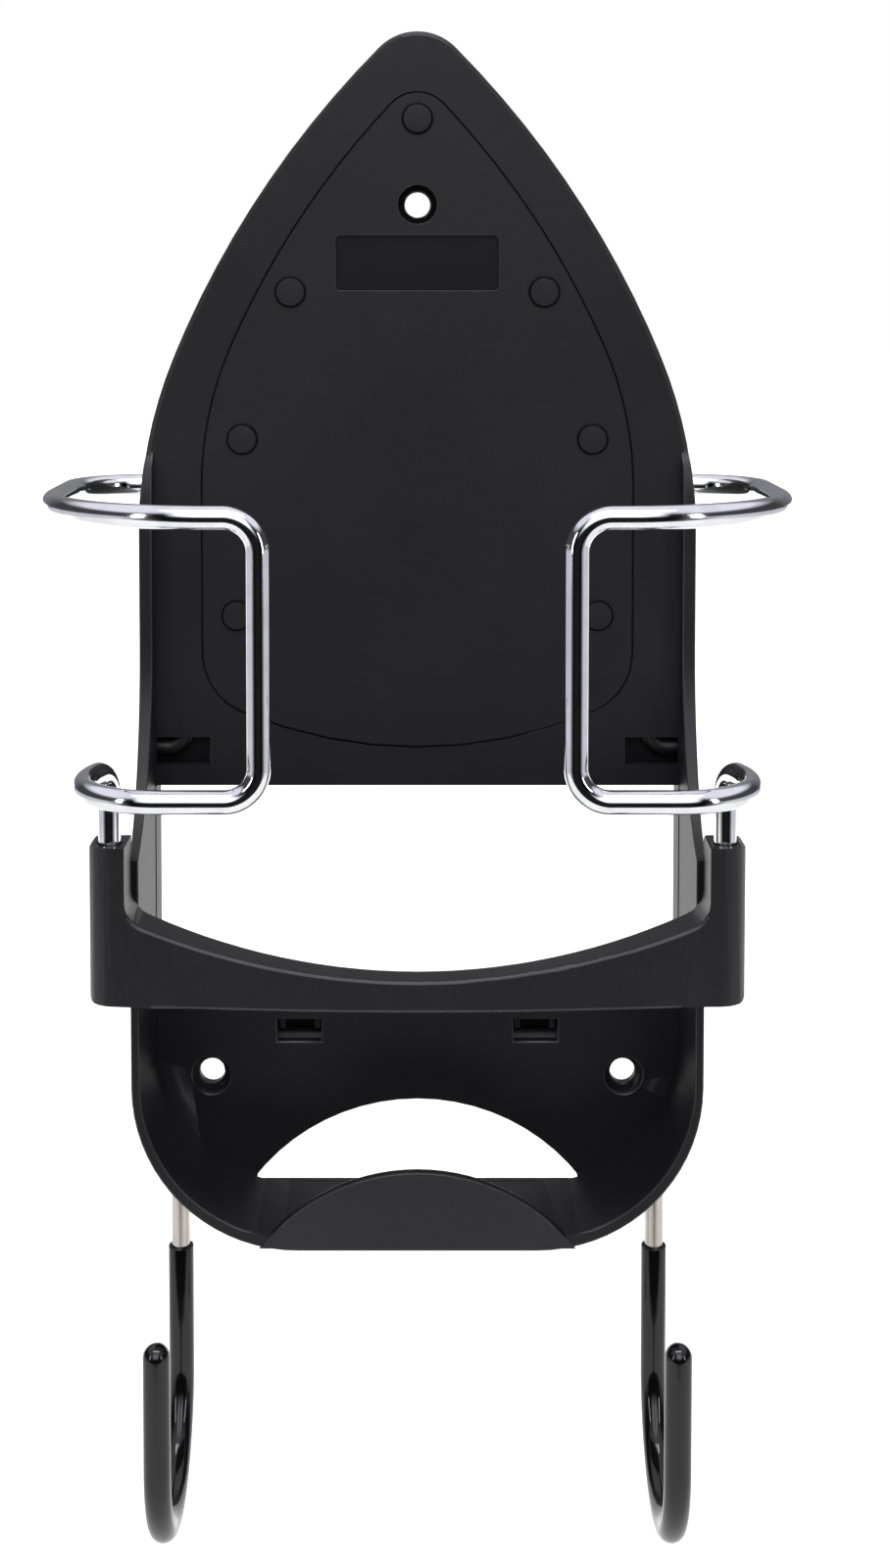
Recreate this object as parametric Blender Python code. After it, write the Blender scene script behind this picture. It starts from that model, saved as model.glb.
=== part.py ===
"""Wall holder for an electric iron and its ironing board.

A moulded body with an iron-shaped rest plate, an inlaid heat panel and a heel tray, a front band,
two bent wire guards, and one bent wire that makes both board hooks.
Metres, +Z up, the wall is the plane Y = 0 and the front faces -Y. A depth is the distance from the wall.
The origin lies on the rear ribs, on the centre line, half way between the upper and lower wall screws.
"""

import math

import bmesh
import bpy
from mathutils import Vector

# Body moulding
SHELL_DEPTH = 0.0105
PLATE_THICKNESS = 0.0030
SKIRT_WALL = 0.0024
PLATE_HALF_WIDTH = 0.0739
PLATE_SHOULDER_Z = 0.0301
PLATE_SHOULDER_RADIUS = 0.118
PLATE_SHOULDER_ANGLE = 22.5
PLATE_TIP_RADIUS = 0.0142
PLATE_TIP_ANGLE = 45.0
PLATE_EDGE_RADIUS = 0.0012
BODY_BOTTOM_Z = -0.1516
BODY_CORNER_RADIUS = 0.0436

# Side walls and heel tray
TRAY_LENGTH = 0.034
WALL_DRAFT = 0.00185
WALL_STEP = 0.00015
RIM_ROUND = 0.0004
TRAY_WALL = 0.0038
TRAY_FLOOR = 0.0048
TRAY_CORNER_RADIUS = 0.0395
RIM_HEIGHT = 0.0045
RIM_TOP_Z = 0.0514
RIM_RUN_OUT = 0.016
FLARE_START_Z = -0.0006
FLARE_RADIUS = 0.0556
LIP_HALF_CHORD = 0.0400
LIP_RISE = 0.0196
LIP_THICKNESS = 0.0027
LIP_STEP = 0.00015

# Openings in the body
WINDOW_TOP_Z = -0.0388
WINDOW_BOTTOM_Z = -0.0946
WINDOW_STEP = 0.0002
ARCH_RADIUS = 0.0554
ARCH_RISE = 0.0223
ARCH_SILL = 0.0002
SILL_THICKNESS = 0.0010
RECESS_HALF_WIDTH = 0.0216
RECESS_TOP_Z = 0.1079
RECESS_BOTTOM_Z = 0.0934
RECESS_DEPTH = 0.0007
RECESS_CORNER = 0.0014

# Wall screws
SCREW_Z = 0.1161
LOWER_SCREW_Z = -0.1179
LOWER_SCREW_INSET = 0.0183
SCREW_HOLE_RADIUS = 0.0034
COUNTERBORE_RADIUS = 0.0052
COUNTERBORE_DEPTH = 0.0031
SEAT_WALL = 0.0029
BOSS_RADIUS = 0.0062

# Rear ribs
RIB_THICKNESS = 0.0022
RIB_SPACING = 0.052
RIB_CLEARANCE = 0.0025

# Inlaid panel and its rest pads
PANEL_THICKNESS = 0.0014
PANEL_BORDER = 0.0166
PANEL_SHOULDER_Z = 0.0410
PANEL_SHOULDER_RADIUS = 0.094
PANEL_SHOULDER_ANGLE = 24.0
PANEL_TIP_RADIUS = 0.0095
PANEL_TIP_ANGLE = 43.5
PANEL_BOTTOM_Z = -0.0284
PANEL_BOTTOM_RADIUS = 0.121
PANEL_CORNER_RADIUS = 0.0167
PANEL_GAP = 0.0003
PAD_RADIUS = 0.0042
PAD_HEIGHT = 0.0007
PAD_EDGE = 0.0003
PAD_STEM_RADIUS = 0.0020
TIP_PAD_Z = 0.1386
SIDE_PADS = ((0.0237, 0.0930), (0.0108, 0.0540), (0.0092, 0.0069))

# Front band and posts
BAND_BOTTOM_Z = -0.0823
BAND_MIDDLE_Z = -0.0745
BAND_TOP_RADIUS = 0.196
BAND_FILLET = 0.0065
BAND_OVERHANG = 0.0074
BAND_MIDDLE_THICKNESS = 0.0084
BAND_BOW = 0.0045
BAND_EDGE = 0.0011
POST_INSET = 0.0022
POST_TOP_Z = -0.0430
POST_THICKNESS = 0.0127
POST_CORNER = 0.0070
POST_REAR_CORNER = 0.0015
POST_TOP_CORNER = 0.0016
SOCKET_DEPTH = 0.012
EAR_THICKNESS = 0.0032
EAR_TOP_Z = -0.0560
EAR_SET_BACK = 0.0001
EAR_CORNER = 0.002
BAND_SCREW_Z = (-0.0616, -0.0756)
BAND_SCREW_RADIUS = 0.0015
BAND_SCREW_LENGTH = 0.0115
BAND_SCREW_HEAD_RADIUS = 0.0033
BAND_SCREW_HEAD = 0.0022

# Chrome guards
GUARD_RADIUS = 0.0028
GUARD_UPPER_Z = 0.0414
GUARD_LOWER_Z = -0.0243
GUARD_FRONT_REACH = 0.0750
GUARD_SIDE_REACH = 0.0163
GUARD_REAR_BEND = 0.0175
GUARD_FRONT_BEND = 0.042
GUARD_LEG_X = 0.0364
GUARD_LEG_BEND = 0.008
GUARD_LOWER_BEND = 0.019
GUARD_TURN_OUT = 18.0
POST_LEG_OFFSET = 0.0021
POST_LEG_REACH = 0.0415
POST_LEG_BEND = 0.007
TAIL_INSET = 0.0107
TAIL_BEND = 0.0075
FOOT_BEND = 0.0042
TAIL_FOOT_Z = -0.0296
SLOT_LENGTH = 0.0143
SLOT_HEIGHT = 0.0073
GUIDE_SPACING = 0.022
GUIDE_LENGTH = 0.008
GUIDE_WALL = 0.0018

# Board hooks
HOOK_RADIUS = 0.0025
HOOK_INSET = 0.0092
HOOK_REACH = 0.0524
HOOK_CENTRE_Z = -0.2262
HOOK_TIP_Z = -0.1673
HOOK_CROSSBAR_Z = -0.1094
HOOK_TOP_BEND = 0.0062
SLEEVE_RADIUS = 0.0034
SLEEVE_BORE_GAP = 0.00015
SLEEVE_TIP = 0.0012
CLIP_X = 0.0318
CLIP_Z = -0.10565
CLIP_WIDTH = 0.0118
CLIP_HEIGHT = 0.0061
FORK_WALL = 0.0016
FORK_INSET = 0.0012
FORK_ROOT = 0.0030
FORK_LENGTH = 0.0070

# Rear covers
COVER_THICKNESS = 0.0011
COVER_SET_IN = 0.0002
COVER_BORDER = 0.0045
GUARD_COVER_TOP_Z = 0.0300
CROSSBAR_COVER_LENGTH = 0.0920
CROSSBAR_COVER_HEIGHT = 0.0200
STAKE_RADIUS = 0.0013
STAKE_BORDER = 0.0024

# Clearances between touching pieces
SEAT_GAP = 0.0001
FIT_GAP = 0.0003
CUT = 0.002

# Places that follow from the sizes above
FACE_DEPTH = SHELL_DEPTH
PLATE_REAR_DEPTH = SHELL_DEPTH - PLATE_THICKNESS
COVER_FRONT_DEPTH = COVER_SET_IN + COVER_THICKNESS
TRAY_FRONT_DEPTH = FACE_DEPTH + TRAY_LENGTH
TRAY_HALF_WIDTH = PLATE_HALF_WIDTH - TRAY_WALL
TRAY_FLOOR_Z = BODY_BOTTOM_Z + TRAY_FLOOR
WINDOW_HALF_WIDTH = TRAY_HALF_WIDTH - WINDOW_STEP
ARCH_TOP_Z = TRAY_FLOOR_Z + ARCH_RISE
LOWER_SCREW_X = PLATE_HALF_WIDTH - LOWER_SCREW_INSET
PANEL_HALF_WIDTH = PLATE_HALF_WIDTH - PANEL_BORDER
BAND_HALF_LENGTH = PLATE_HALF_WIDTH + BAND_OVERHANG
BAND_REAR_DEPTH = TRAY_FRONT_DEPTH + SEAT_GAP
BAND_FRONT_DEPTH = BAND_REAR_DEPTH + POST_THICKNESS
POST_INNER_X = PLATE_HALF_WIDTH - POST_INSET
POST_LEG_X = PLATE_HALF_WIDTH + POST_LEG_OFFSET
POST_LEG_DEPTH = FACE_DEPTH + POST_LEG_REACH
GUARD_FRONT_DEPTH = FACE_DEPTH + GUARD_FRONT_REACH
GUARD_SIDE_X = PLATE_HALF_WIDTH + GUARD_SIDE_REACH
TAIL_X = PLATE_HALF_WIDTH - TAIL_INSET
TAIL_DEPTH = PLATE_REAR_DEPTH - FIT_GAP - GUARD_RADIUS
TAIL_FOOT_END_X = PLATE_HALF_WIDTH - SKIRT_WALL - 2 * FIT_GAP
HOOK_X = PLATE_HALF_WIDTH - HOOK_INSET
HOOK_REAR_DEPTH = PLATE_REAR_DEPTH - FIT_GAP - HOOK_RADIUS
GUARD_COVER_INNER_X = TAIL_X - GUARD_RADIUS - FIT_GAP - GUIDE_WALL - COVER_BORDER


def clear_scene():
    for old in list(bpy.data.objects):
        bpy.data.objects.remove(old, do_unlink=True)


def finish(name, colour, roughness, metallic=0.0):
    """A Principled material of one colour."""
    material = bpy.data.materials.new(name)
    material.use_nodes = True
    shader = material.node_tree.nodes["Principled BSDF"]
    shader.inputs["Base Color"].default_value = (*colour, 1.0)
    shader.inputs["Roughness"].default_value = roughness
    shader.inputs["Metallic"].default_value = metallic
    return material


def new_object(name, bm, smooth_angle=30.0):
    """An object from a bmesh, with its faces turned outwards and its round sides shaded smooth."""
    bmesh.ops.recalc_face_normals(bm, faces=bm.faces)
    mesh = bpy.data.meshes.new(name)
    bm.to_mesh(mesh)
    bm.free()
    piece = bpy.data.objects.new(name, mesh)
    bpy.context.scene.collection.objects.link(piece)
    shade(piece, smooth_angle)
    return piece


def shade(piece, smooth_angle=30.0):
    piece.data.shade_smooth()
    piece.data.set_sharp_from_angle(angle=math.radians(smooth_angle))


def apply_modifiers(piece):
    bpy.context.view_layer.update()
    graph = bpy.context.evaluated_depsgraph_get()
    mesh = bpy.data.meshes.new_from_object(piece.evaluated_get(graph))
    piece.modifiers.clear()
    piece.data = mesh


def combine(piece, tool, operation):
    """Joins the tool to the piece, cuts it away or keeps what both hold, and removes the tool."""
    modifier = piece.modifiers.new(tool.name, "BOOLEAN")
    modifier.operation = operation
    modifier.solver = "EXACT"
    modifier.object = tool
    apply_modifiers(piece)
    bpy.data.objects.remove(tool, do_unlink=True)


def cut(piece, *tools):
    for tool in tools:
        combine(piece, tool, "DIFFERENCE")


def join(piece, *tools):
    for tool in tools:
        combine(piece, tool, "UNION")


def arc(centre, radius, start, end, steps):
    """Points on a circle from one angle to another, in degrees."""
    turn = math.radians(end - start) / steps
    first = math.radians(start)
    return [
        (centre[0] + radius * math.cos(first + turn * i), centre[1] + radius * math.sin(first + turn * i))
        for i in range(steps + 1)
    ]


def distinct(points, least=1e-6):
    """The points with neighbours that coincide left out, also where the line closes."""
    kept = []
    for point in points:
        if not kept or math.dist(point, kept[-1]) > least:
            kept.append(point)
    if math.dist(kept[0], kept[-1]) <= least:
        kept.pop()
    return kept


def mirrored(half):
    """A closed outline from its right half, which runs from the top to the bottom."""
    left = [(-x, z) for x, z in reversed(half)]
    return distinct(half + left)


def leaf(half_width, shoulder_z, shoulder_radius, shoulder_angle, tip_radius, tip_angle):
    """The right side of an iron's pointed half: a tip, a flank and a shoulder arc that meet smoothly."""
    tip_cos = math.cos(math.radians(tip_angle))
    tip_sin = math.sin(math.radians(tip_angle))
    turn_cos = math.cos(math.radians(shoulder_angle))
    turn_sin = math.sin(math.radians(shoulder_angle))
    left_over = half_width - shoulder_radius * (1 - turn_cos) - tip_radius * tip_cos
    flank_radius = left_over / (turn_cos - tip_cos)
    shoulder = (half_width - shoulder_radius, shoulder_z)
    flank = (
        shoulder[0] + (shoulder_radius - flank_radius) * turn_cos,
        shoulder[1] + (shoulder_radius - flank_radius) * turn_sin,
    )
    tip = (0.0, flank[1] + (flank_radius - tip_radius) * tip_sin)
    return (
        arc(tip, tip_radius, 90, tip_angle, 7)
        + arc(flank, flank_radius, tip_angle, shoulder_angle, 11)
        + arc(shoulder, shoulder_radius, shoulder_angle, 0, 8)
    )


def plate_side():
    return leaf(
        PLATE_HALF_WIDTH,
        PLATE_SHOULDER_Z,
        PLATE_SHOULDER_RADIUS,
        PLATE_SHOULDER_ANGLE,
        PLATE_TIP_RADIUS,
        PLATE_TIP_ANGLE,
    )


def body_outline():
    corner = (PLATE_HALF_WIDTH - BODY_CORNER_RADIUS, BODY_BOTTOM_Z + BODY_CORNER_RADIUS)
    return mirrored(plate_side() + arc(corner, BODY_CORNER_RADIUS, 0, -90, 18))


def panel_outline():
    """An iron's sole: the leaf above, a bowed heel below, and a rounded corner between them."""
    heel = (0.0, PANEL_BOTTOM_Z + PANEL_BOTTOM_RADIUS)
    corner_x = PANEL_HALF_WIDTH - PANEL_CORNER_RADIUS
    reach = PANEL_BOTTOM_RADIUS - PANEL_CORNER_RADIUS
    drop = math.sqrt(reach**2 - corner_x**2)
    meet = -math.degrees(math.atan2(drop, corner_x))
    side = leaf(
        PANEL_HALF_WIDTH,
        PANEL_SHOULDER_Z,
        PANEL_SHOULDER_RADIUS,
        PANEL_SHOULDER_ANGLE,
        PANEL_TIP_RADIUS,
        PANEL_TIP_ANGLE,
    )
    corner = arc((corner_x, heel[1] - drop), PANEL_CORNER_RADIUS, 0, meet, 5)
    bottom = arc(heel, PANEL_BOTTOM_RADIUS, meet, -90, 4)
    return mirrored(side + corner + bottom)


def inset(outline, amount):
    """The outline moved inwards along the mean normal at each point."""
    moved = []
    count = len(outline)
    for i, (x, z) in enumerate(outline):
        before = Vector(outline[i]) - Vector(outline[i - 1])
        after = Vector(outline[(i + 1) % count]) - Vector(outline[i])
        normals = [Vector((side.y, -side.x)).normalized() for side in (before, after)]
        middle = (normals[0] + normals[1]).normalized()
        step = amount / max(middle.dot(normals[0]), 0.2)
        moved.append((x + middle.x * step, z + middle.y * step))
    return moved


def loft(name, rings):
    """A solid through rings of points, one outline at each depth, closed at both ends."""
    bm = bmesh.new()
    loops = [[bm.verts.new((x, -depth, z)) for x, z in outline] for depth, outline in rings]
    for first, second in zip(loops, loops[1:]):
        for i in range(len(first)):
            bm.faces.new((first[i - 1], first[i], second[i], second[i - 1]))
    bm.faces.new(loops[0])
    bm.faces.new(loops[-1])
    return new_object(name, bm)


def slab(name, outline, near, far):
    """An outline in X and Z, carried from one depth to another."""
    return loft(name, [(near, outline), (far, outline)])


def side_slab(name, profile, low_x, high_x):
    """A profile in depth and Z, carried along X."""
    bm = bmesh.new()
    loops = [[bm.verts.new((x, -depth, z)) for depth, z in profile] for x in (low_x, high_x)]
    for i in range(len(profile)):
        bm.faces.new((loops[0][i - 1], loops[0][i], loops[1][i], loops[1][i - 1]))
    bm.faces.new(loops[0])
    bm.faces.new(loops[1])
    return new_object(name, bm)


def box_outline(low_x, high_x, low_z, high_z):
    return [(low_x, low_z), (low_x, high_z), (high_x, high_z), (high_x, low_z)]


def round_box(low_x, high_x, low_z, high_z, radius, steps=4):
    """A rectangle with round corners, in X and Z."""
    corners = (
        ((high_x - radius, high_z - radius), 90),
        ((high_x - radius, low_z + radius), 0),
        ((low_x + radius, low_z + radius), -90),
        ((low_x + radius, high_z - radius), -180),
    )
    points = []
    for centre, start in corners:
        points += arc(centre, radius, start, start - 90, steps)
    return distinct(points)


def round_bar(name, x, z, radius, near, far, sides=20):
    """A round pin or hole that runs away from the wall."""
    return slab(name, distinct(arc((x, z), radius, 0, -360, sides)), near, far)


def turned(name, x, z, profile, sides=16):
    """A turned piece on an axis away from the wall, from rings of radius and depth, closed at both ends."""
    rings = [(depth, distinct(arc((x, z), radius, 0, -360, sides))) for radius, depth in profile]
    return loft(name, rings)


def build_body(material):
    outline = body_outline()
    body = loft(
        "holder_body",
        [
            (0.0, outline),
            (FACE_DEPTH - PLATE_EDGE_RADIUS, outline),
            (FACE_DEPTH - 0.3 * PLATE_EDGE_RADIUS, inset(outline, 0.3 * PLATE_EDGE_RADIUS)),
            (FACE_DEPTH, inset(outline, PLATE_EDGE_RADIUS)),
        ],
    )
    cut(body, *rear_hollows())
    join(body, *rear_ribs(), *screw_bosses(), *wire_guides())
    join(body, side_walls(outline), *band_ears(), tray_lip())
    cut(body, *front_cuts(), *wire_notches())
    shade(body)
    body.data.materials.clear()
    body.data.materials.append(material)
    return body


def rear_hollows():
    """The spaces behind the rest plate and behind the tray's back wall, which ends round the arch."""
    side_x = PLATE_HALF_WIDTH - SKIRT_WALL
    inner = inset(body_outline(), SKIRT_WALL)
    above = [(x, z) for x, z in inner[: len(inner) // 2] if z > PLATE_SHOULDER_Z - CUT]
    upper = mirrored(above + [(side_x, WINDOW_TOP_Z + SKIRT_WALL)])
    corner = BODY_CORNER_RADIUS - SKIRT_WALL
    bottom_z = BODY_BOTTOM_Z + SKIRT_WALL
    lower = mirrored(
        [(side_x, WINDOW_BOTTOM_Z - SKIRT_WALL)]
        + arc((side_x - corner, bottom_z + corner), corner, 0, -90, 10)
    )
    lower_hollow = slab("lower_hollow", lower, -CUT, PLATE_REAR_DEPTH)
    border = ARCH_RADIUS + SKIRT_WALL
    arch_z = ARCH_TOP_Z - ARCH_RADIUS
    cut(lower_hollow, round_bar("arch_border", 0.0, arch_z, border, -2 * CUT, FACE_DEPTH, 48))
    return slab("upper_hollow", upper, -CUT, PLATE_REAR_DEPTH), lower_hollow


def rear_ribs():
    """A spine down the plate's rear and cross ribs, whose edges rest on the wall."""
    half = RIB_THICKNESS / 2
    end_z = SCREW_Z - (SCREW_HOLE_RADIUS + BOSS_RADIUS) / 2
    spine = box_outline(-half, half, WINDOW_TOP_Z + SKIRT_WALL / 2, end_z)
    tools = [slab("spine", spine, 0.0, PLATE_REAR_DEPTH + PLATE_THICKNESS / 2)]
    reach = GUARD_COVER_INNER_X - RIB_CLEARANCE / 2
    for i in (0, 1):
        z = i * RIB_SPACING
        half_length = reach - i * (PLATE_HALF_WIDTH - PANEL_HALF_WIDTH)
        cross = box_outline(-half_length, half_length, z - half, z + half)
        tools.append(slab(f"cross_rib_{i}", cross, 0.0, PLATE_REAR_DEPTH + PLATE_THICKNESS / 2))
    return tools


def screw_places():
    return ((0.0, SCREW_Z), (-LOWER_SCREW_X, LOWER_SCREW_Z), (LOWER_SCREW_X, LOWER_SCREW_Z))


def screw_bosses():
    """The cups behind the plate whose floors the wall screws' heads sit on."""
    near = FACE_DEPTH - COUNTERBORE_DEPTH - SEAT_WALL
    far = PLATE_REAR_DEPTH + PLATE_THICKNESS / 2
    places = enumerate(screw_places())
    return [round_bar(f"boss_{i}", x, z, BOSS_RADIUS, near, far) for i, (x, z) in places]


def wire_guides():
    """Ribs beside each guard's tail, and forked ribs that the hooks' crossbar lies in."""
    tools = []
    near = COVER_FRONT_DEPTH + SEAT_GAP
    far = PLATE_REAR_DEPTH + PLATE_THICKNESS / 2
    middle_z = (GUARD_UPPER_Z + TAIL_FOOT_Z) / 2
    half = GUIDE_WALL / 2
    for side in (-1, 1):
        for i in (-1, 1):
            z = middle_z + i * GUIDE_SPACING / 2
            for edge in (-1, 1):
                x = side * TAIL_X + edge * (GUARD_RADIUS + FIT_GAP + half)
                rib = box_outline(x - half, x + half, z - GUIDE_LENGTH / 2, z + GUIDE_LENGTH / 2)
                tools.append(slab("tail_guide", rib, near, far))
        for edge in (-1, 1):
            x = side * CLIP_X + edge * (CLIP_WIDTH / 2 - FORK_INSET)
            low_z = HOOK_CROSSBAR_Z - FORK_LENGTH
            high_z = CLIP_Z + CLIP_HEIGHT / 2 + FORK_ROOT
            fork = box_outline(x - FORK_WALL / 2, x + FORK_WALL / 2, low_z, high_z)
            tools.append(slab("fork", fork, near, far))
    for i, (x, z) in enumerate(guard_stakes() + crossbar_stakes()):
        tools.append(round_bar(f"stake_{i}", x, z, STAKE_RADIUS, COVER_SET_IN + SEAT_GAP, far, 12))
    return tools


def guard_stakes():
    """The two stakes for each guard cover, left then right."""
    x = GUARD_COVER_INNER_X + STAKE_BORDER
    low_z = WINDOW_TOP_Z + SKIRT_WALL + FIT_GAP + STAKE_BORDER
    high_z = GUARD_COVER_TOP_Z - STAKE_BORDER
    return [(side * x, z) for side in (-1, 1) for z in (low_z, high_z)]


def crossbar_stakes():
    x = CROSSBAR_COVER_LENGTH / 2 - STAKE_BORDER
    z = CROSSBAR_COVER_HEIGHT / 2 - STAKE_BORDER
    return [(i * x, HOOK_CROSSBAR_Z + j * z) for i in (-1, 1) for j in (-1, 1)]


def flare_profile():
    """The front edge of a side wall, seen from the side: a low rim that sweeps out to the band's depth."""
    start = FACE_DEPTH - CUT
    climb = RIM_HEIGHT + CUT
    rim = FACE_DEPTH + RIM_HEIGHT
    turns = [math.radians(a) for a in range(0, 91, 15)]
    run_out = [
        (start + climb * math.sin(a), RIM_TOP_Z - RIM_RUN_OUT * (1 - math.cos(a))) for a in turns
    ]
    reach = TRAY_LENGTH - RIM_HEIGHT + CUT
    turn = math.degrees(math.acos(1 - reach / FLARE_RADIUS))
    sweep = [
        (rim + FLARE_RADIUS - x, z)
        for x, z in arc((0.0, FLARE_START_Z), FLARE_RADIUS, 0, -turn, 9)
    ]
    return run_out, sweep


def side_walls(outline):
    """The upright wall round the tray and beside the plate, drafted outside and cut to the flare."""
    front = TRAY_FRONT_DEPTH
    walls = loft(
        "side_walls",
        [
            (FACE_DEPTH - PLATE_EDGE_RADIUS, inset(outline, WALL_STEP)),
            (front - RIM_ROUND, inset(outline, WALL_STEP + WALL_DRAFT - RIM_ROUND)),
            (front, inset(outline, WALL_STEP + WALL_DRAFT)),
        ],
    )
    corner = (TRAY_HALF_WIDTH - TRAY_CORNER_RADIUS, TRAY_FLOOR_Z + TRAY_CORNER_RADIUS)
    beyond_z = RIM_TOP_Z + RIM_RUN_OUT
    pocket = mirrored(
        [(0.0, beyond_z), (TRAY_HALF_WIDTH, beyond_z)] + arc(corner, TRAY_CORNER_RADIUS, 0, -90, 18)
    )
    run_out, sweep = flare_profile()
    above_z = RIM_TOP_Z + PLATE_SHOULDER_RADIUS + PLATE_HALF_WIDTH
    beyond = front + CUT
    profile = [(run_out[0][0], above_z)] + run_out + sweep + [(beyond, sweep[-1][1]), (beyond, above_z)]
    flare = side_slab("flare", distinct(profile), -2 * PLATE_HALF_WIDTH, 2 * PLATE_HALF_WIDTH)
    cut(walls, slab("pocket", pocket, FACE_DEPTH - CUT, front + CUT), flare)
    return walls


def band_ears():
    """A flange on the outside of each side wall, behind the post, that takes the band's screw."""
    tools = []
    front = TRAY_FRONT_DEPTH - EAR_SET_BACK
    wall_x = PLATE_HALF_WIDTH - WALL_STEP - WALL_DRAFT - RIM_ROUND
    for side in (-1, 1):
        xs = sorted((side * wall_x, side * (BAND_HALF_LENGTH - EAR_CORNER)))
        outline = round_box(*xs, BAND_BOTTOM_Z + EAR_CORNER, EAR_TOP_Z, EAR_CORNER / 2)
        tools.append(slab("ear", outline, front - EAR_THICKNESS, front))
    return tools


def lip_arc(half_chord, rise, base_z, steps):
    radius = (half_chord**2 + rise**2) / (2 * rise)
    turn = math.degrees(math.asin(half_chord / radius))
    return arc((0.0, base_z + rise - radius), radius, 90 + turn, 90 - turn, steps)


def tray_lip():
    """The bowed front stop on the tray's floor, rooted in the floor and a little proud of the rim."""
    root_z = BODY_BOTTOM_Z + WALL_STEP + WALL_DRAFT + RIM_ROUND
    crest = lip_arc(LIP_HALF_CHORD, LIP_RISE, root_z, 28)
    front = TRAY_FRONT_DEPTH + LIP_STEP
    return slab("lip", crest, front - LIP_THICKNESS, front)


def front_cuts():
    """The openings seen from the front."""
    through = (-CUT, FACE_DEPTH + CUT)
    arch_z = ARCH_TOP_Z - ARCH_RADIUS
    sill_z = TRAY_FLOOR_Z + ARCH_SILL
    meet = math.degrees(math.asin((sill_z - arch_z) / ARCH_RADIUS))
    arch = arc((0.0, arch_z), ARCH_RADIUS, 180 - meet, meet, 20)
    window = box_outline(-WINDOW_HALF_WIDTH, WINDOW_HALF_WIDTH, WINDOW_BOTTOM_Z, WINDOW_TOP_Z)
    panel = inset(panel_outline(), -PANEL_GAP)
    panel_floor = FACE_DEPTH - PANEL_THICKNESS - SEAT_GAP
    tools = [slab("window", window, *through), slab("arch", arch, *through)]
    half_sill = ARCH_RADIUS * math.cos(math.radians(meet)) - FIT_GAP
    sill = box_outline(-half_sill, half_sill, BODY_BOTTOM_Z - CUT, sill_z + CUT)
    tools.append(slab("sill_relief", sill, -CUT, FACE_DEPTH - SILL_THICKNESS))
    tools.append(slab("panel_recess", panel, panel_floor, FACE_DEPTH + CUT))
    for i, (x, z) in enumerate(pad_places()):
        tools.append(round_bar(f"pad_hole_{i}", x, z, PAD_STEM_RADIUS + FIT_GAP, -CUT, FACE_DEPTH, 14))
    for i, (x, z) in enumerate(screw_places()):
        tools.append(round_bar(f"screw_hole_{i}", x, z, SCREW_HOLE_RADIUS, *through))
        floor = FACE_DEPTH - COUNTERBORE_DEPTH
        tools.append(round_bar(f"counterbore_{i}", x, z, COUNTERBORE_RADIUS, floor, FACE_DEPTH + CUT))
    for side in (-1, 1):
        xs = sorted((side * (WINDOW_HALF_WIDTH - SLOT_LENGTH), side * WINDOW_HALF_WIDTH))
        slot = box_outline(*xs, TAIL_FOOT_Z - SLOT_HEIGHT / 2, TAIL_FOOT_Z + SLOT_HEIGHT / 2)
        tools.append(slab("corner_slot", slot, -CUT, FACE_DEPTH + CUT))
        clip_x = side * CLIP_X
        clip = box_outline(
            clip_x - CLIP_WIDTH / 2,
            clip_x + CLIP_WIDTH / 2,
            CLIP_Z - CLIP_HEIGHT / 2,
            CLIP_Z + CLIP_HEIGHT / 2,
        )
        tools.append(slab("clip_window", clip, PLATE_REAR_DEPTH - CUT / 4, FACE_DEPTH + CUT))
        rear = TRAY_FRONT_DEPTH - 2 * EAR_THICKNESS
        for z in BAND_SCREW_Z:
            bore = BAND_SCREW_RADIUS + FIT_GAP
            tools.append(round_bar("ear_hole", side * POST_LEG_X, z, bore, rear, TRAY_FRONT_DEPTH, 14))
    return tools


def wire_notches():
    """Openings in the rear skirt, where the guards' tails and the hooks' legs come out."""
    tools = []
    half_guard = GUARD_RADIUS + FIT_GAP
    half_hook = HOOK_RADIUS + 2 * FIT_GAP
    for side in (-1, 1):
        xs = sorted((side * (PLATE_HALF_WIDTH - SKIRT_WALL - CUT), side * (PLATE_HALF_WIDTH + CUT)))
        outline = box_outline(*xs, GUARD_UPPER_Z - half_guard, GUARD_UPPER_Z + half_guard)
        tools.append(slab("guard_notch", outline, -CUT, PLATE_REAR_DEPTH))
        x = side * HOOK_X
        low_z = BODY_BOTTOM_Z
        high_z = BODY_BOTTOM_Z + BODY_CORNER_RADIUS
        outline = box_outline(x - half_hook, x + half_hook, low_z, high_z)
        tools.append(slab("hook_notch", outline, -CUT, PLATE_REAR_DEPTH + SEAT_GAP))
    half_bar = HOOK_RADIUS + FIT_GAP
    way = box_outline(-HOOK_X, HOOK_X, HOOK_CROSSBAR_Z - half_bar, HOOK_CROSSBAR_Z + half_bar)
    tools.append(slab("crossbar_way", way, -CUT, PLATE_REAR_DEPTH + SEAT_GAP))
    return tools


def pad_places():
    """One pad at the tip and a pair at each of the other heights."""
    places = [(0.0, TIP_PAD_Z)]
    for border, z in SIDE_PADS:
        x = PANEL_HALF_WIDTH - border
        places += [(-x, z), (x, z)]
    return places


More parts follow.
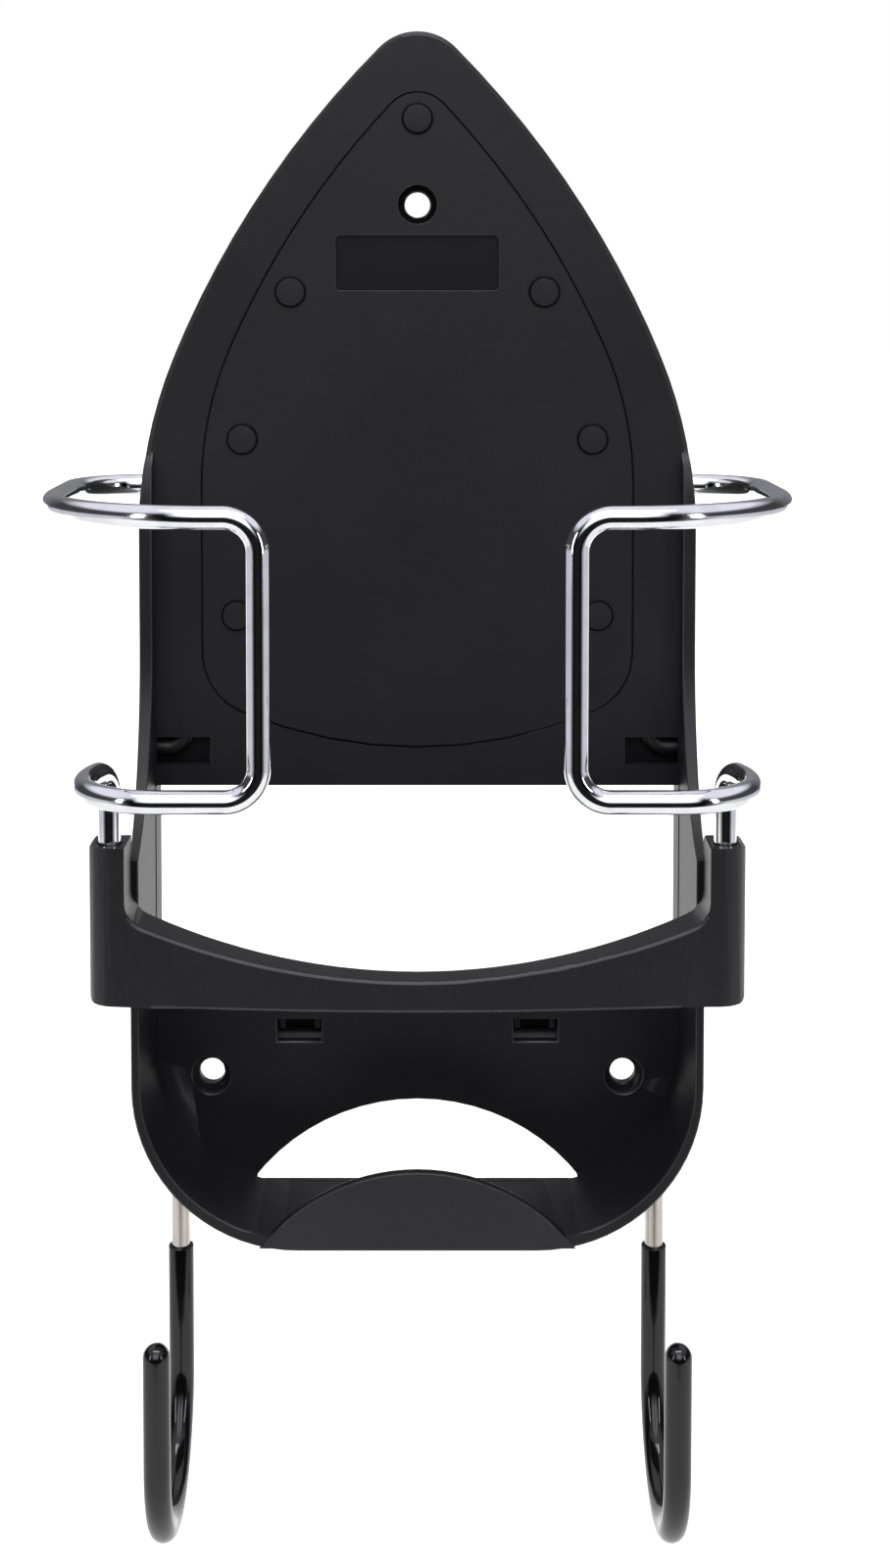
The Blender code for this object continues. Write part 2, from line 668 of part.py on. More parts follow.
def build_panel(material):
    outline = panel_outline()
    rear = FACE_DEPTH - PANEL_THICKNESS
    panel = loft(
        "heat_panel",
        [
            (rear, outline),
            (FACE_DEPTH - PANEL_GAP, outline),
            (FACE_DEPTH, inset(outline, PANEL_GAP)),
        ],
    )
    recess = round_box(
        -RECESS_HALF_WIDTH, RECESS_HALF_WIDTH, RECESS_BOTTOM_Z, RECESS_TOP_Z, RECESS_CORNER
    )
    cut(panel, slab("recess", recess, FACE_DEPTH - RECESS_DEPTH, FACE_DEPTH + CUT))
    cut(panel, round_bar("screw_way", 0.0, SCREW_Z, COUNTERBORE_RADIUS, 0.0, FACE_DEPTH + CUT))
    for i, (x, z) in enumerate(pad_places()):
        cut(panel, round_bar(f"stem_way_{i}", x, z, PAD_STEM_RADIUS + FIT_GAP, 0.0, FACE_DEPTH + CUT))
    shade(panel)
    panel.data.materials.clear()
    panel.data.materials.append(material)
    return panel


def build_pads(material):
    """Low round rest pads, each with a stem through the panel and the plate."""
    names = ("tip", "upper_left", "upper_right", "middle_left", "middle_right", "lower_left", "lower_right")
    seat = FACE_DEPTH + SEAT_GAP
    crown = FACE_DEPTH + PAD_HEIGHT
    pads = []
    for name, (x, z) in zip(names, pad_places()):
        profile = (
            (PAD_STEM_RADIUS, PLATE_REAR_DEPTH),
            (PAD_STEM_RADIUS, seat),
            (PAD_RADIUS, seat),
            (PAD_RADIUS, crown - PAD_EDGE),
            (PAD_RADIUS - PAD_EDGE, crown),
        )
        pad = turned(f"rest_pad_{name}", x, z, profile)
        pad.data.materials.append(material)
        pads.append(pad)
    return pads


def band_front_outline():
    """The band from the front: two posts joined by a bar with a hollowed upper edge."""
    centre_z = BAND_MIDDLE_Z + BAND_TOP_RADIUS
    fillet_x = POST_INNER_X - BAND_FILLET
    reach = BAND_TOP_RADIUS - BAND_FILLET
    drop = math.sqrt(reach**2 - fillet_x**2)
    meet = -math.degrees(math.atan2(drop, fillet_x))
    hollow = arc((0.0, centre_z), BAND_TOP_RADIUS, -90, meet, 14)
    fillet = arc((fillet_x, centre_z - drop), BAND_FILLET, meet, 0, 6)
    corner = POST_TOP_CORNER
    top = [(POST_INNER_X, POST_TOP_Z)]
    top += arc((BAND_HALF_LENGTH - corner, POST_TOP_Z - corner), corner, 90, 0, 3)
    foot = arc((BAND_HALF_LENGTH - corner, BAND_BOTTOM_Z + corner), corner, 0, -90, 3)
    return mirrored(hollow + fillet + top + foot)


def band_plan():
    """The band from above, in X and depth: a bowed front, a hollowed rear and round outer corners."""
    span = BAND_HALF_LENGTH - POST_CORNER
    front_radius = (span**2 + BAND_BOW**2) / (2 * BAND_BOW)
    front_turn = math.degrees(math.asin(span / front_radius))
    front_centre = BAND_FRONT_DEPTH + BAND_BOW - front_radius
    front = arc((0.0, front_centre), front_radius, 90, 90 - front_turn, 8)
    rear_x = BAND_HALF_LENGTH - POST_REAR_CORNER
    corners = arc((span, BAND_FRONT_DEPTH - POST_CORNER), POST_CORNER, 90 - front_turn, 0, 6)
    corners += arc((rear_x, BAND_REAR_DEPTH + POST_REAR_CORNER), POST_REAR_CORNER, 0, -90, 3)
    sag = BAND_FRONT_DEPTH + BAND_BOW - BAND_MIDDLE_THICKNESS - BAND_REAR_DEPTH
    hollow_x = TRAY_HALF_WIDTH
    rear_radius = (hollow_x**2 + sag**2) / (2 * sag)
    rear_turn = math.degrees(math.asin(hollow_x / rear_radius))
    rear = arc((0.0, BAND_REAR_DEPTH + sag - rear_radius), rear_radius, 90 - rear_turn, 90, 8)
    return mirrored(front + corners + rear)


def build_band(material):
    """The front band is the part common to its front view and its plan, with its edges eased."""
    front = BAND_FRONT_DEPTH + BAND_BOW + CUT
    band = slab("front_band", band_front_outline(), BAND_REAR_DEPTH - CUT, front)
    bm = bmesh.new()
    plan = band_plan()
    ends = (BAND_BOTTOM_Z - CUT, POST_TOP_Z + CUT)
    loops = [[bm.verts.new((x, -depth, z)) for x, depth in plan] for z in ends]
    for i in range(len(plan)):
        bm.faces.new((loops[0][i - 1], loops[0][i], loops[1][i], loops[1][i - 1]))
    bm.faces.new(loops[0])
    bm.faces.new(loops[1])
    combine(band, new_object("band_plan", bm), "INTERSECT")
    ease = band.modifiers.new("eased_edges", "BEVEL")
    ease.width = BAND_EDGE
    ease.segments = 2
    ease.limit_method = "ANGLE"
    ease.angle_limit = math.radians(40)
    apply_modifiers(band)
    for side in (-1, 1):
        cut(band, socket_bore(side))
        pilot = BAND_REAR_DEPTH - EAR_THICKNESS + BAND_SCREW_LENGTH + FIT_GAP
        bore = BAND_SCREW_RADIUS + FIT_GAP
        for z in BAND_SCREW_Z:
            cut(band, round_bar("pilot", side * POST_LEG_X, z, bore, BAND_REAR_DEPTH - CUT, pilot, 14))
    shade(band)
    band.data.materials.clear()
    band.data.materials.append(material)
    return band


def socket_bore(side, sides=20):
    """The upright blind hole in a post."""
    bm = bmesh.new()
    circle = distinct(arc((side * POST_LEG_X, POST_LEG_DEPTH), GUARD_RADIUS + FIT_GAP, 0, 360, sides))
    heights = (POST_TOP_Z - SOCKET_DEPTH, POST_TOP_Z + CUT)
    loops = [[bm.verts.new((x, -depth, z)) for x, depth in circle] for z in heights]
    for i in range(sides):
        bm.faces.new((loops[0][i - 1], loops[0][i], loops[1][i], loops[1][i - 1]))
    bm.faces.new(loops[0])
    bm.faces.new(loops[1])
    return new_object("socket", bm)


def build_band_screws(material):
    """Pan-head screws from behind, through the ears and into the posts."""
    seat = TRAY_FRONT_DEPTH - EAR_SET_BACK - EAR_THICKNESS - SEAT_GAP
    tip = seat + BAND_SCREW_LENGTH
    profile = (
        (BAND_SCREW_HEAD_RADIUS * 0.7, seat - BAND_SCREW_HEAD),
        (BAND_SCREW_HEAD_RADIUS, seat - BAND_SCREW_HEAD * 0.5),
        (BAND_SCREW_HEAD_RADIUS, seat),
        (BAND_SCREW_RADIUS, seat),
        (BAND_SCREW_RADIUS, tip - BAND_SCREW_RADIUS),
        (BAND_SCREW_RADIUS * 0.3, tip),
    )
    for name, side in (("left", -1), ("right", 1)):
        for level, z in zip(("upper", "lower"), BAND_SCREW_Z):
            screw = turned(f"band_screw_{name}_{level}", side * POST_LEG_X, z, profile, 14)
            screw.data.materials.append(material)


def build_covers(material):
    """Thin strips staked over the guards' tails and the hooks' crossbar, which keep them in."""
    inner_x = GUARD_COVER_INNER_X
    outer_x = PLATE_HALF_WIDTH - SKIRT_WALL - FIT_GAP
    low_z = WINDOW_TOP_Z + SKIRT_WALL + FIT_GAP
    half_length = CROSSBAR_COVER_LENGTH / 2
    half_height = CROSSBAR_COVER_HEIGHT / 2
    left_stakes = guard_stakes()[:2]
    right_stakes = guard_stakes()[2:]
    strips = (
        ("guard_cover_left", (-outer_x, -inner_x, low_z, GUARD_COVER_TOP_Z), left_stakes),
        ("guard_cover_right", (inner_x, outer_x, low_z, GUARD_COVER_TOP_Z), right_stakes),
        (
            "crossbar_cover",
            (-half_length, half_length, HOOK_CROSSBAR_Z - half_height, HOOK_CROSSBAR_Z + half_height),
            crossbar_stakes(),
        ),
    )
    for name, sides, stakes in strips:
        cover = slab(name, round_box(*sides, STAKE_RADIUS, 3), COVER_SET_IN, COVER_FRONT_DEPTH)
        for x, z in stakes:
            bore = STAKE_RADIUS + FIT_GAP
            cut(cover, round_bar("stake_hole", x, z, bore, -CUT, COVER_FRONT_DEPTH + CUT, 12))
        shade(cover)
        cover.data.materials.clear()
        cover.data.materials.append(material)


def rounded_path(corners, radii, steps):
    """Points along straight runs with a round bend at each inner corner."""
    points = [Vector(corners[0])]
    for before, corner, after, radius, count in zip(corners, corners[1:], corners[2:], radii, steps):
        corner = Vector(corner)
        back = (Vector(before) - corner).normalized()
        ahead = (Vector(after) - corner).normalized()
        half = back.angle(ahead) / 2
        centre = corner + (back + ahead).normalized() * (radius / math.sin(half))
        start = corner + back * (radius / math.tan(half))
        axis = back.cross(ahead).normalized()
        turn = math.pi - 2 * half
        for i in range(count + 1):
            arm = start - centre
            spun = arm * math.cos(turn * i / count) - axis.cross(arm) * math.sin(turn * i / count)
            points.append(centre + spun)
    points.append(Vector(corners[-1]))
    kept = [points[0]]
    for point in points[1:]:
        if (point - kept[-1]).length > 1e-5:
            kept.append(point)
    return kept


def frames(points):
    """Two directions square to the path at each point, carried along it without twist."""
    tangents = []
    for i, point in enumerate(points):
        before = points[max(i - 1, 0)]
        after = points[min(i + 1, len(points) - 1)]
        tangents.append((after - before).normalized())
    across = tangents[0].orthogonal().normalized()
    found = []
    for tangent in tangents:
        across = (across - tangent * across.dot(tangent)).normalized()
        found.append((across.copy(), tangent.cross(across)))
    return found


def ring(bm, centre, frame, radius, sides):
    across, up = frame
    return [
        bm.verts.new(
            centre
            + across * (radius * math.cos(2 * math.pi * i / sides))
            + up * (radius * math.sin(2 * math.pi * i / sides))
        )
        for i in range(sides)
    ]


def bridge(bm, first, second):
    for i in range(len(first)):
        bm.faces.new((first[i - 1], first[i], second[i], second[i - 1]))


def rod(name, points, radius, sides):
    """A round bent rod with square ends."""
    bm = bmesh.new()
    loops = [ring(bm, point, frame, radius, sides) for point, frame in zip(points, frames(points))]
    for first, second in zip(loops, loops[1:]):
        bridge(bm, first, second)
    bm.faces.new(loops[0])
    bm.faces.new(loops[-1])
    return new_object(name, bm, 50.0)


def guard_corners(side):
    """A guard's corners, from its foot behind the plate, round the front, to its leg in the post."""
    slant = math.tan(math.radians(GUARD_TURN_OUT))
    lower_x = POST_LEG_X + slant * (GUARD_FRONT_DEPTH - POST_LEG_DEPTH)
    places = (
        (TAIL_FOOT_END_X, TAIL_DEPTH, TAIL_FOOT_Z),
        (TAIL_X, TAIL_DEPTH, TAIL_FOOT_Z),
        (TAIL_X, TAIL_DEPTH, GUARD_UPPER_Z),
        (GUARD_SIDE_X, TAIL_DEPTH, GUARD_UPPER_Z),
        (GUARD_SIDE_X, GUARD_FRONT_DEPTH, GUARD_UPPER_Z),
        (GUARD_LEG_X, GUARD_FRONT_DEPTH, GUARD_UPPER_Z),
        (GUARD_LEG_X, GUARD_FRONT_DEPTH, GUARD_LOWER_Z),
        (lower_x, GUARD_FRONT_DEPTH, GUARD_LOWER_Z),
        (POST_LEG_X, POST_LEG_DEPTH, GUARD_LOWER_Z),
        (POST_LEG_X, POST_LEG_DEPTH, POST_TOP_Z - SOCKET_DEPTH + FIT_GAP),
    )
    return [(side * x, -depth, z) for x, depth, z in places]


def build_guards(material):
    radii = (
        FOOT_BEND,
        TAIL_BEND,
        GUARD_REAR_BEND,
        GUARD_FRONT_BEND,
        GUARD_LEG_BEND,
        GUARD_LEG_BEND,
        GUARD_LOWER_BEND,
        POST_LEG_BEND,
    )
    steps = (4, 5, 6, 8, 5, 5, 8, 5)
    guards = []
    for name, side in (("left", -1), ("right", 1)):
        path = rounded_path(guard_corners(side), radii, steps)
        guard = rod(f"guard_wire_{name}", path, GUARD_RADIUS, 12)
        guard.data.materials.append(material)
        guards.append(guard)
    return guards


def hook_corners(side, tip_z, top_z):
    """One hook from its tip, down, back and up to a given height."""
    x = side * HOOK_X
    front = HOOK_REAR_DEPTH + HOOK_REACH
    rear = HOOK_REAR_DEPTH
    places = ((front, tip_z), (front, HOOK_CENTRE_Z), (rear, HOOK_CENTRE_Z), (rear, top_z))
    return [(x, -depth, z) for depth, z in places]


def build_hook_frame(material):
    """One rod makes both hooks and the crossbar between them."""
    tip_z = HOOK_TIP_Z - SLEEVE_TIP - SLEEVE_RADIUS
    left = hook_corners(-1, tip_z, HOOK_CROSSBAR_Z)
    right = hook_corners(1, tip_z, HOOK_CROSSBAR_Z)
    bend = HOOK_REACH / 2
    radii = (bend, bend, HOOK_TOP_BEND, HOOK_TOP_BEND, bend, bend)
    path = rounded_path(left + right[::-1], radii, (6, 6, 4, 4, 6, 6))
    frame = rod("hook_frame", path, HOOK_RADIUS, 12)
    frame.data.materials.append(material)
    return frame


def build_sleeves(material, sides=12, dome_steps=4):
    """A soft coat round each hook: a bent tube, open at the top of the rear leg and domed at the tip."""
    bend = HOOK_REACH / 2
    bore = HOOK_RADIUS + SLEEVE_BORE_GAP
    sleeves = []
    for name, side in (("left", -1), ("right", 1)):
        corners = hook_corners(side, HOOK_TIP_Z - SLEEVE_RADIUS, HOOK_TIP_Z)
        path = rounded_path(corners, (bend, bend), (6, 6))[::-1]
        turns = frames(path)
        bm = bmesh.new()
        outer = [ring(bm, point, frame, SLEEVE_RADIUS, sides) for point, frame in zip(path, turns)]
        for i in range(1, dome_steps):
            lean = math.pi / 2 * i / dome_steps
            rise = Vector((0.0, 0.0, SLEEVE_RADIUS * math.sin(lean)))
            outer.append(ring(bm, path[-1] + rise, turns[-1], SLEEVE_RADIUS * math.cos(lean), sides))
        inner = [ring(bm, point, frame, bore, sides) for point, frame in zip(path[:-1], turns)]
        inner_end = path[-1] - Vector((0.0, 0.0, SLEEVE_TIP - SLEEVE_BORE_GAP))
        inner.append(ring(bm, inner_end, turns[-1], bore, sides))
        for loops in (outer, inner):
            for first, second in zip(loops, loops[1:]):
                bridge(bm, first, second)
        bridge(bm, outer[0], inner[0])
        bm.faces.new(outer[-1])
        bm.faces.new(inner[-1])
        sleeve = new_object(f"hook_sleeve_{name}", bm, 50.0)
        sleeve.data.materials.append(material)
        sleeves.append(sleeve)
    return sleeves


def build_holder():
    clear_scene()
    black = finish("black_moulding", (0.028, 0.028, 0.030), 0.55)
    inlay = finish("black_panel", (0.024, 0.024, 0.026), 0.60)
    pad = finish("black_pad", (0.022, 0.022, 0.024), 0.65)
    satin = finish("black_band", (0.030, 0.030, 0.032), 0.42)
    chrome = finish("chrome", (0.80, 0.81, 0.83), 0.06, 1.0)
    nickel = finish("nickel", (0.66, 0.62, 0.57), 0.25, 1.0)
    vinyl = finish("black_vinyl", (0.012, 0.012, 0.013), 0.18)
    zinc = finish("zinc", (0.55, 0.55, 0.57), 0.35, 1.0)
    build_body(black)
    build_panel(inlay)
    build_pads(pad)
    build_band(satin)
    build_band_screws(zinc)
    build_guards(chrome)
    build_hook_frame(nickel)
    build_covers(black)
    build_sleeves(vinyl)


build_holder()
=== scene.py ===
import math

import bmesh
import bpy
import numpy as np
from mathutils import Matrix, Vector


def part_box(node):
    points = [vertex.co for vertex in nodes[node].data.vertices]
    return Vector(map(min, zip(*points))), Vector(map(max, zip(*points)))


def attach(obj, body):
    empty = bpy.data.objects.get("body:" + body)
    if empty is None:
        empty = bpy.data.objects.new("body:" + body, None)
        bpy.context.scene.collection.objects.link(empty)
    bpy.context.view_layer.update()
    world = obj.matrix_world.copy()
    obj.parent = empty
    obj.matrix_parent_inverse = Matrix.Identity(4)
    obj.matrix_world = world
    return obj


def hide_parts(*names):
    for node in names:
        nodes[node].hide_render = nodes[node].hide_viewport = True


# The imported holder: its solids are the fixed frame that every piece below is set on.
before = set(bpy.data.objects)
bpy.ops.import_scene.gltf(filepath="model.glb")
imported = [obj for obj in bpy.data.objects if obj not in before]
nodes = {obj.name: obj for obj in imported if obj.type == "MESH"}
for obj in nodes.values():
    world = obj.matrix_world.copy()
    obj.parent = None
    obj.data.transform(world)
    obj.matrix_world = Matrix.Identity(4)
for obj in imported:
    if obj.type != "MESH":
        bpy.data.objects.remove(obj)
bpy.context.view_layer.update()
scene = bpy.context.scene


# Body: one black heat-resistant moulding with the rest plate, the side walls, the tray and the rear ribs
# in one. It is moulded in a spark-textured tool, so its skin has a fine satin grain. Its rounded edges
# carry a painted highlight in a paler, glossier tone. The front of the tray's lip is painted paler as light
# falling on it, and the upper screw's seat has painted shade in a darker, matt tone.
BODY_DARK = (0.0052, 0.0050, 0.0066)
BODY_LIGHT = (0.0080, 0.0078, 0.0098)
EDGE_HIGHLIGHT_DARK = (0.0170, 0.0168, 0.0184)
EDGE_HIGHLIGHT_LIGHT = (0.0300, 0.0298, 0.0320)
BODY_EDGE = 0.0004
EDGE_ROOM = 2.2
EDGE_LENGTH = 2.5
SHARP = math.radians(32)
FLAT = math.radians(0.1)
NEARLY_FLAT = math.radians(0.5)
SAME_POINT = 2e-6
FACING = 0.95
LIP_DARK = (0.0146, 0.0141, 0.0176)
LIP_LIGHT = (0.0182, 0.0176, 0.0216)
LIP_HALF_CHORD = 0.0400
LIP_ROOT_Z = -0.130
LIP_FRONT_SLACK = 0.0001
HOLE_Z = 0.1161
HOLE_REACH = 0.007
MATT_SHADE_DARK = (0.0016, 0.0016, 0.0018)
MATT_SHADE_LIGHT = (0.0026, 0.0026, 0.0029)


def least_gap(points, starts, ends):
    """The least distance from any of the points to any of the straight lines between starts and ends."""
    run = ends - starts
    share = ((points[:, None] - starts) * run).sum(-1) / (run * run).sum(-1)
    nearest = starts + np.clip(share, 0.0, 1.0)[..., None] * run
    return np.linalg.norm(points[:, None] - nearest, axis=-1).min()


def has_room(line, width):
    """Whether an edge can take a round of this width: the edges that meet it are EDGE_LENGTH times as long,
    and the other edges of its two faces lie EDGE_ROOM times as far off."""
    here = np.array([corner.co[:] for corner in line.verts])
    samples = np.linspace(here[0], here[1], 7)
    for face in line.link_faces:
        others = [other for other in face.edges if not set(other.verts) & set(line.verts)]
        if not others:
            continue
        ends = np.array([[corner.co[:] for corner in other.verts] for other in others])
        gap = min(
            least_gap(samples, ends[:, 0], ends[:, 1]),
            least_gap(ends.reshape(-1, 3), here[:1], here[1:]),
        )
        if gap < EDGE_ROOM * width:
            return False
    nearby = [near for corner in line.verts for near in corner.link_edges]
    return all(near.calc_length() > EDGE_LENGTH * width for near in nearby)


def moulded_copy(node_name, piece_name, edge, merge=SAME_POINT, free_run=0.0):
    """A copy of a solid for show: points nearer than the merging distance become one and flat faces are
    made whole. Sharp outer edges that have room, or that lie within the free run from the middle plane,
    get a round of the given width, in the piece's second material."""
    merged = bmesh.new()
    merged.from_mesh(nodes[node_name].data)
    weight = merged.edges.layers.float.new("bevel_weight_edge")
    bmesh.ops.remove_doubles(merged, verts=merged.verts, dist=merge)
    flat = NEARLY_FLAT if free_run else FLAT
    bmesh.ops.dissolve_limit(merged, angle_limit=flat, verts=merged.verts, edges=merged.edges)
    for line in merged.edges:
        outer = line.is_convex and line.calc_face_angle() > SHARP
        in_run = max(abs(corner.co.x) for corner in line.verts) < free_run
        line[weight] = float(outer and (in_run or has_room(line, edge)))
    mesh = bpy.data.meshes.new(piece_name)
    merged.to_mesh(mesh)
    merged.free()
    mesh.materials.clear()
    mesh.shade_smooth()
    mesh.set_sharp_from_angle(angle=SHARP)
    piece = bpy.data.objects.new(piece_name, mesh)
    scene.collection.objects.link(piece)
    rounding = piece.modifiers.new("rounded_edges", "BEVEL")
    rounding.width = edge
    rounding.segments = 3
    rounding.limit_method = "WEIGHT"
    rounding.use_clamp_overlap = False
    # the rounds take the piece's second material, which carries the painted edge highlight
    rounding.material = 1
    flats = piece.modifiers.new("flat_faces", "WEIGHTED_NORMAL")
    flats.keep_sharp = True
    return piece


def node_group(name, inputs, outputs):
    """An empty shader group with float or vector inputs, given with their defaults, and float outputs."""
    group = bpy.data.node_groups.new(name, "ShaderNodeTree")
    for label, value in inputs.items():
        kind = "NodeSocketFloat" if isinstance(value, float) else "NodeSocketVector"
        made = group.interface.new_socket(label, in_out="INPUT", socket_type=kind)
        made.default_value = value
    for label in outputs:
        group.interface.new_socket(label, in_out="OUTPUT", socket_type="NodeSocketFloat")
    return group, group.nodes.new("NodeGroupInput"), group.nodes.new("NodeGroupOutput")


def add(tree, kind, settings=None, **links):
    """A node in a tree, with settings for its properties or unlinked sockets and links for its inputs."""
    made = tree.nodes.new(kind)
    for label, value in (settings or {}).items():
        if label in made.inputs:
            made.inputs[label].default_value = value
        else:
            setattr(made, label, value)
    for label, source in links.items():
        socket = made.inputs[int(label[1:])] if label[1:].isdigit() else made.inputs[label]
        tree.links.new(source, socket)
    return made


def moulded_grain_group():
    """Fine grain of a spark-textured mould: height is two sizes of noise, and tone is a broad, faint
    cloudiness left by the flow of the melt."""
    group, given, result = node_group(
        "moulded_grain", {"Coordinates": (0.0, 0.0, 0.0), "Grain": 2000.0}, ("Height", "Tone", "Speck")
    )
    fine = add(
        group,
        "ShaderNodeTexNoise",
        {"Detail": 2.0, "Roughness": 0.55},
        Vector=given.outputs["Coordinates"],
        Scale=given.outputs["Grain"],
    )
    cells = add(
        group,
        "ShaderNodeTexVoronoi",
        {"feature": "SMOOTH_F1"},
        Vector=given.outputs["Coordinates"],
        Scale=given.outputs["Grain"],
    )
    height = add(group, "ShaderNodeMath", {"operation": "ADD"}, _0=fine.outputs[0], _1=cells.outputs[0])
    clouds = add(
        group,
        "ShaderNodeTexNoise",
        {"Scale": 22.0, "Detail": 4.0, "Roughness": 0.6},
        Vector=given.outputs["Coordinates"],
    )
    specks = add(
        group,
        "ShaderNodeTexNoise",
        {"Scale": 700.0, "Detail": 1.0},
        Vector=given.outputs["Coordinates"],
    )
    group.links.new(height.outputs[0], result.inputs["Height"])
    group.links.new(clouds.outputs[0], result.inputs["Tone"])
    group.links.new(specks.outputs[0], result.inputs["Speck"])
    return group


moulded_grain = moulded_grain_group()


def new_material(name):
    """A new material with its node tree and its one shader."""
    made = bpy.data.materials.new(name)
    made.use_nodes = True
    return made, made.node_tree, made.node_tree.nodes["Principled BSDF"]


def two_tones(tree, factor, dark, light, low=0.0, high=1.0):
    """A colour that goes from the dark tone where the factor is low to the light one where it is high."""
    tones = add(tree, "ShaderNodeValToRGB", Fac=factor)
    for stop, position, tone in zip(tones.color_ramp.elements, (low, high), (dark, light)):
        stop.position = position
        stop.color = (*tone, 1.0)
    return tones.outputs["Color"]


def moulded_plastic(name, dark, light, roughness, grain, grain_depth, spread=0.05, shine=0.34):
    """Black moulded plastic: two close tones mixed by the melt's clouds, a roughness that follows the
    specks within the spread and the grain as a bump."""
    made, tree, shader = new_material(name)
    shader.inputs["Specular IOR Level"].default_value = shine
    place = add(tree, "ShaderNodeTexCoord")
    skin = add(tree, "ShaderNodeGroup", {"node_tree": moulded_grain})
    skin.inputs["Grain"].default_value = grain
    tree.links.new(place.outputs["Object"], skin.inputs["Coordinates"])
    colour = two_tones(tree, skin.outputs["Tone"], dark, light, low=0.35, high=0.65)
    tree.links.new(colour, shader.inputs["Base Color"])
    gloss = add(
        tree,
        "ShaderNodeMapRange",
        {"From Min": 0.3, "From Max": 0.7, "To Min": roughness - spread, "To Max": roughness + spread},
        Value=skin.outputs["Speck"],
    )
    tree.links.new(gloss.outputs[0], shader.inputs["Roughness"])
    relief = add(
        tree,
        "ShaderNodeBump",
        {"Strength": 0.6, "Distance": grain_depth},
        Height=skin.outputs["Height"],
    )
    tree.links.new(relief.outputs[0], shader.inputs["Normal"])
    return made


black_moulding = moulded_plastic(
    "black_moulding", BODY_DARK, BODY_LIGHT, roughness=0.44, grain=1900.0, grain_depth=0.000018, spread=0.02
)
# painted highlight on rounded edges: a paler, glossier tone than the body
painted_edge_highlight = moulded_plastic(
    "painted_edge_highlight", EDGE_HIGHLIGHT_DARK, EDGE_HIGHLIGHT_LIGHT, roughness=0.31, grain=1900.0, grain_depth=0.00002
)
# the lip's front: a paler tone painted as light falling on it
lip_painted_light = moulded_plastic(
    "lip_painted_light", LIP_DARK, LIP_LIGHT, roughness=0.42, grain=1900.0, grain_depth=0.00003
)
# painted shade: a darker, matt tone for the screw seats and the pads' rims
matt_painted_shade = moulded_plastic(
    "matt_painted_shade", MATT_SHADE_DARK, MATT_SHADE_LIGHT, roughness=0.62, grain=2600.0, grain_depth=0.00002, shine=0.06
)
body = moulded_copy("holder_body", "body_moulding", BODY_EDGE)
body_skins = (black_moulding, painted_edge_highlight, lip_painted_light, matt_painted_shade)
for skin in body_skins:
    body.data.materials.append(skin)
# the lip's front faces get the painted light
lip_faces = [
    face
    for face in body.data.polygons
    if abs(face.center.x) < LIP_HALF_CHORD and face.center.z < LIP_ROOT_Z and face.normal.y < -FACING
]
lip_front = min(face.center.y for face in lip_faces)
for face in lip_faces:
    if face.center.y < lip_front + LIP_FRONT_SLACK:
        face.material_index = body_skins.index(lip_painted_light)
# the upper screw's seat gets the painted shade
for face in body.data.polygons:
    if math.hypot(face.center.x, face.center.z - HOLE_Z) < HOLE_REACH:
        face.material_index = body_skins.index(matt_painted_shade)
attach(body, "root")
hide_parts("holder_body")


# Inlaid panel: a thin black plastic sheet with the outline of an iron's sole, let into the plate inside a
# narrow groove. It is a little finer than the body, its recess is moulded smooth, and the wall of its
# screw hole has painted shade in a darker, matt tone. Its rounded edges carry the painted highlight, but
# the edges on either side of the groove stay crisp, so that it shows as a dark line.
PANEL_DARK = (0.0052, 0.0050, 0.0067)
PANEL_LIGHT = (0.0077, 0.0075, 0.0097)
PANEL_EDGE = 0.00012
RECESS_HALF_WIDTH = 0.0216
RECESS_BOTTOM_Z = 0.0934
RECESS_TOP_Z = 0.1079
RECESS_DARK = (0.0026, 0.0026, 0.0030)
RECESS_LIGHT = (0.0038, 0.0038, 0.0044)
PANEL_FACING = 0.9
RECESS_SINK = 0.0002
RECESS_SLACK = 0.0006
GROOVE_REACH = 0.0012

panel = moulded_copy("heat_panel", "inlaid_panel", PANEL_EDGE)
black_panel = moulded_plastic(
    "black_panel", PANEL_DARK, PANEL_LIGHT, roughness=0.46, grain=2600.0, grain_depth=0.000018, spread=0.02
)
smooth_recess = moulded_plastic(
    "smooth_recess",
    RECESS_DARK,
    RECESS_LIGHT,
    roughness=0.40,
    grain=2600.0,
    grain_depth=0.000002,
    spread=0.008,
    shine=0.24,
)
panel_skins = (black_panel, painted_edge_highlight, smooth_recess, matt_painted_shade)
for skin in panel_skins:
    panel.data.materials.append(skin)
panel_face = min(corner.co.y for corner in panel.data.vertices)
for face in panel.data.polygons:
    x, y, z = face.center
    sunk = y > panel_face + RECESS_SINK and face.normal.y < -PANEL_FACING
    if sunk and abs(x) < RECESS_HALF_WIDTH and RECESS_BOTTOM_Z < z < RECESS_TOP_Z:
        face.material_index = panel_skins.index(smooth_recess)
    # the wall of the screw hole gets the painted shade
    elif math.hypot(x, z - HOLE_Z) < HOLE_REACH and abs(face.normal.y) < PANEL_FACING:
        face.material_index = panel_skins.index(matt_painted_shade)


def rounded_lines(piece):
    """The edges of a moulded copy that get a round: their weights and their ends, array (edges, 2, 3)."""
    spots = np.array([corner.co[:] for corner in piece.data.vertices])
    weights = piece.data.attributes["bevel_weight_edge"].data
    pairs = zip(piece.data.edges, weights)
    lines = [(weight, line.vertices[:]) for line, weight in pairs if weight.value]
    return [weight for weight, _ in lines], spots[[ends for _, ends in lines]]


